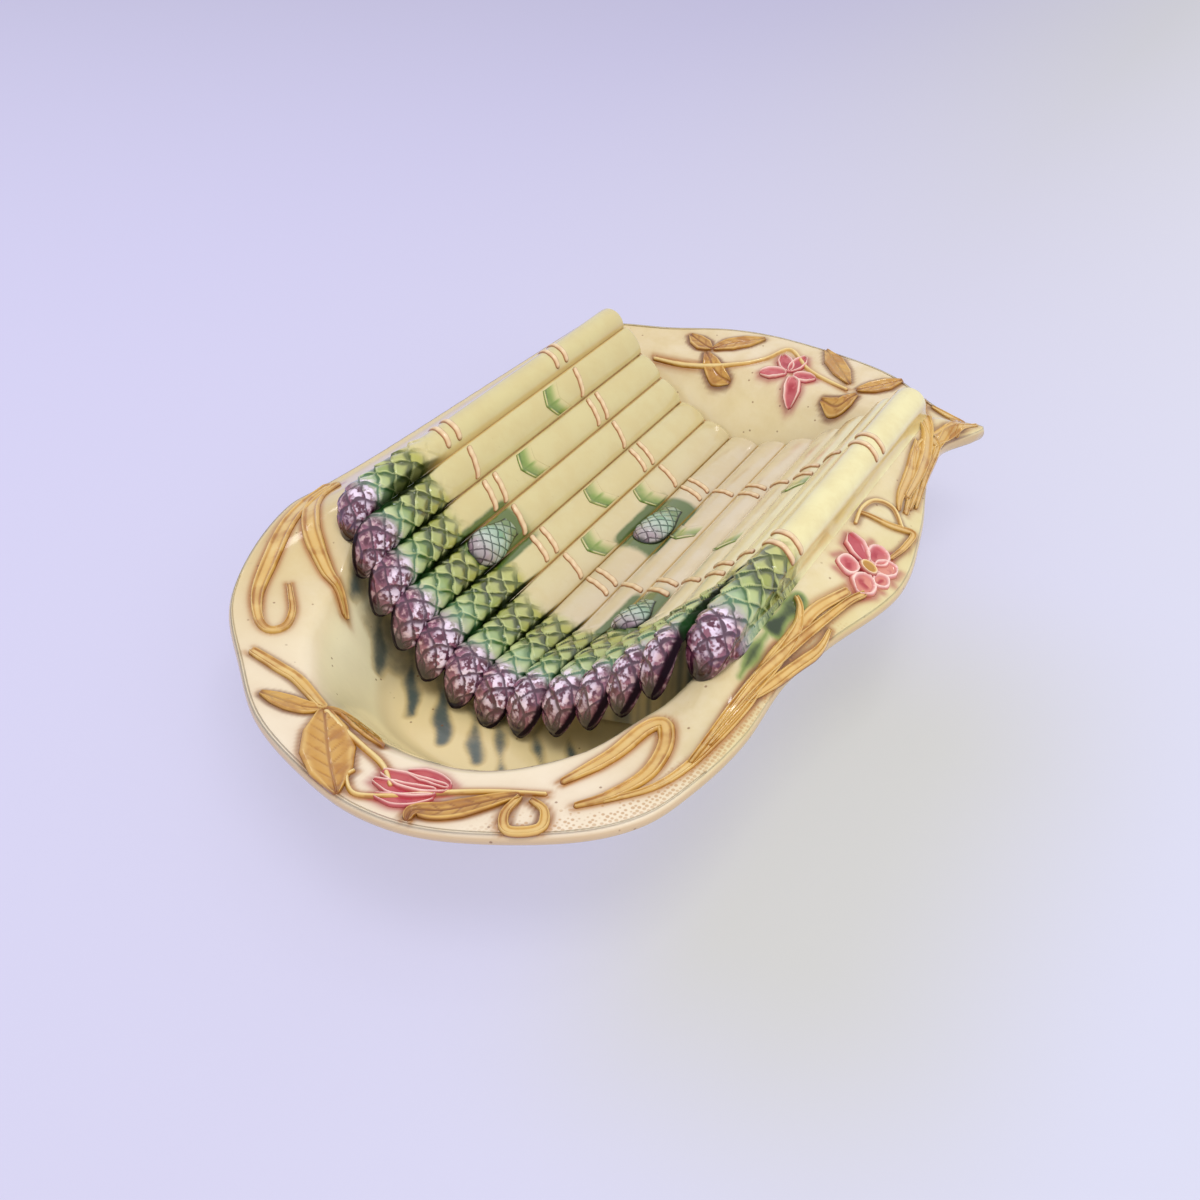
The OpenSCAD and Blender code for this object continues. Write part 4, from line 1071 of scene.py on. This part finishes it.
petal_glaze = glaze("petal_glaze", petal_paint)
centre_glaze = glaze("centre_glaze", centre_paint)
flowers = {
    "side_flower_petals": [
        ([(6, 0.5), (13, 0.12)], (2.0, 5.0, 5.4, 0.8), 2.4),
        ([(7, 0.56), (14, 0.56)], (3.0, 5.6, 5.6, 4.4), 2.3),
        ([(6, 0.6), (10.5, 0.82)], (3.0, 5.2, 5.2, 3.0), 2.3),
        ([(5, 0.62), (3.5, 0.88)], (3.0, 5.6, 5.4, 3.6), 2.3),
        ([(4, 0.6), (-2.5, 0.66)], (3.0, 6.0, 6.0, 2.0), 2.4),
        ([(4, 0.48), (1.5, 0.2)], (3.0, 5.8, 6.0, 3.6), 2.4)],
    "front_bud": [
        ([(282, 0.24), (279, 0.13), (276, 0.16)], (2.0, 3.6, 3.8, 0.8), 2.2),
        ([(282, 0.28), (278, 0.3), (273.5, 0.3)], (2.0, 4.2, 4.4, 1.4), 2.4),
        ([(281, 0.36), (277, 0.46), (273.5, 0.48)], (2.0, 3.6, 4.0, 0.8), 2.2),
        ([(281, 0.44), (278, 0.62), (275, 0.7)], (1.6, 3.4, 3.4, 0.8), 2.0)],
    "rear_flower": [
        ([(87, 0.06), (92, -0.02)], (2.0, 4.6, 4.6, 1.0), 2.4),
        ([(87, 0.12), (90.5, 0.5)], (2.0, 4.8, 4.6, 1.0), 2.4),
        ([(87, 0.12), (86.5, 0.62)], (2.0, 4.4, 4.4, 0.8), 2.4),
        ([(86, 0.06), (81.5, 0.14)], (2.0, 4.8, 4.6, 1.0), 2.4),
        ([(86, 0.02), (83, -0.08)], (2.0, 4.8, 4.6, 1.2), 2.4)],
}
for name, petals in flowers.items():
    bm = bmesh.new()
    for points, halves, rise in petals:
        if len(points) == 2:
            middle = tuple((a + b) / 2 for a, b in zip(*points))
            points = [points[0], middle, points[1]]
        sprig(bm, points, halves, rise, "petal")
    fire(bm, f"{name}_glazed", petal_glaze, name)

seat_x, seat_y = rim_place(5, 0.54)
bm = bmesh.new()


def centre_place(turn, way):
    """A low oval dome with a raised rim."""
    out = math.sin(math.pi * way)
    spin = 2 * math.pi * turn
    x = seat_x + 4.2 * mm * out * math.cos(spin)
    y = seat_y + 3.2 * mm * out * math.sin(spin)
    up = math.cos(math.pi * way)
    h = (2.6 * max(up, 0) ** 0.35 + 0.8 * math.exp(-((out - 0.82) / 0.14) ** 2) * (up > 0)
         - 1.0 * (up < 0) * (1 - out)) * mm
    spot = Vector((x, y, dish_top(x, y))) + dish_normal(x, y) * h
    return spot, (ease((1 - out) * 2) * (up > 0),)


tube(bm, 36, 40, centre_place, ("rise",))
fire(bm, "side_flower_centre_glazed", centre_glaze, "side_flower_centre")


# Glaze pooled on the dish: honey beside every sprig, blue grey runs under the front heads with
# painted shade beneath them, and a band of fine stamped dots round the right front of the rim.
def nearest_of(places):
    """A quick search for the nearest of many places."""
    found = kdtree.KDTree(len(places))
    for k, place in enumerate(places):
        found.insert(place, k)
    found.balance()
    return found


edge_tree, petal_tree = nearest_of(pool_edges), nearest_of(petal_edges)
runs = [((-78, -82), (-70, -99), 4.0), ((-70, -82), (-54, -106), 5.0),
        ((-56, -82), (-30, -114), 5.4), ((-34, -88), (-10, -120), 6.0),
        ((-14, -92), (8, -122), 5.4), ((2, -98), (20, -121), 4.6), ((20, -98), (36, -115), 4.0),
        ((32, -92), (48, -109), 3.6)]
moss_runs = [((99, -27), (97.5, -48), 6.0), ((96.5, -44), (97, -76), 4.4)]


def streak(x, y, spans):
    """How deep the glaze is at a place, from runs that widen and darken to their ends."""
    deep = 0
    for (x0, y0), (x1, y1), wide in spans:
        ax, ay, bx, by = x / mm - x0, y / mm - y0, x1 - x0, y1 - y0
        held = min(max((ax * bx + ay * by) / (bx * bx + by * by), 0), 1)
        off = math.hypot(ax - bx * held, ay - by * held)
        bend = 0.9 * math.sin(0.3 * y / mm + x0) + 0.4 * math.sin(0.5 * x / mm + y0)
        deep = max(deep, ease((wide + bend - off) / 5.4) * (0.72 + 0.28 * held))
    return deep


marks = {name: np.zeros(len(dish.data.vertices), "f")
         for name in ("halo", "junction", "blush", "run", "moss", "stipple", "lip_side")}
for v in dish.data.vertices:
    x, y, z = v.co
    bearing = math.degrees(math.atan2(y, x)) % 360
    inner, outer = np.interp(bearing, *well_table), np.interp(bearing, *rim_table)
    share = (math.hypot(x, y) - inner) / (outer - inner)
    marks["lip_side"][v.index] = ease((rim_h - 0.6 * mm - z) / (1.2 * mm)) * (share > 0.95)
    if z < dish_top(x, y) - 1.5 * mm:
        continue
    near = edge_tree.find_n((x, y, 0), 12)
    reach = near[0][2] / mm
    marks["halo"][v.index] = min(0.85 * math.exp(-(reach / 1.4) ** 2)
                                 + 0.12 * math.exp(-(reach / 4) ** 2), 1)
    marks["junction"][v.index] = 0.7 * ease((2.6 - near[11][2] / mm) / 1.6)
    marks["blush"][v.index] = 0.7 * math.exp(-(petal_tree.find((x, y, 0))[2] / mm / 2.0) ** 2)
    # Painted shade: a broad grey darkening of the well under the overhanging heads, weaker on the
    # right, joined to the glaze runs.
    shade_under_heads = ease((-74 - y / mm) / 12) * ease((104 + y / mm) / 8) * ease((72 - abs(x / mm)) / 10)
    shade_under_heads *= 1 - 0.7 * ease((x / mm + 5) / 30)
    marks["run"][v.index] = max(streak(x, y, runs), 0.55 * shade_under_heads * (z < 40 * mm))
    marks["moss"][v.index] = streak(x, y, moss_runs)
    band = ease((bearing - 284) / 8) * ease((352 - bearing) / 8)
    marks["stipple"][v.index] = band * ease((share - 0.62) / 0.1) * ease((0.97 - share) / 0.05)
for name, amounts in marks.items():
    dish.data.attributes.new(name, "FLOAT", "POINT").data.foreach_set("value", amounts)
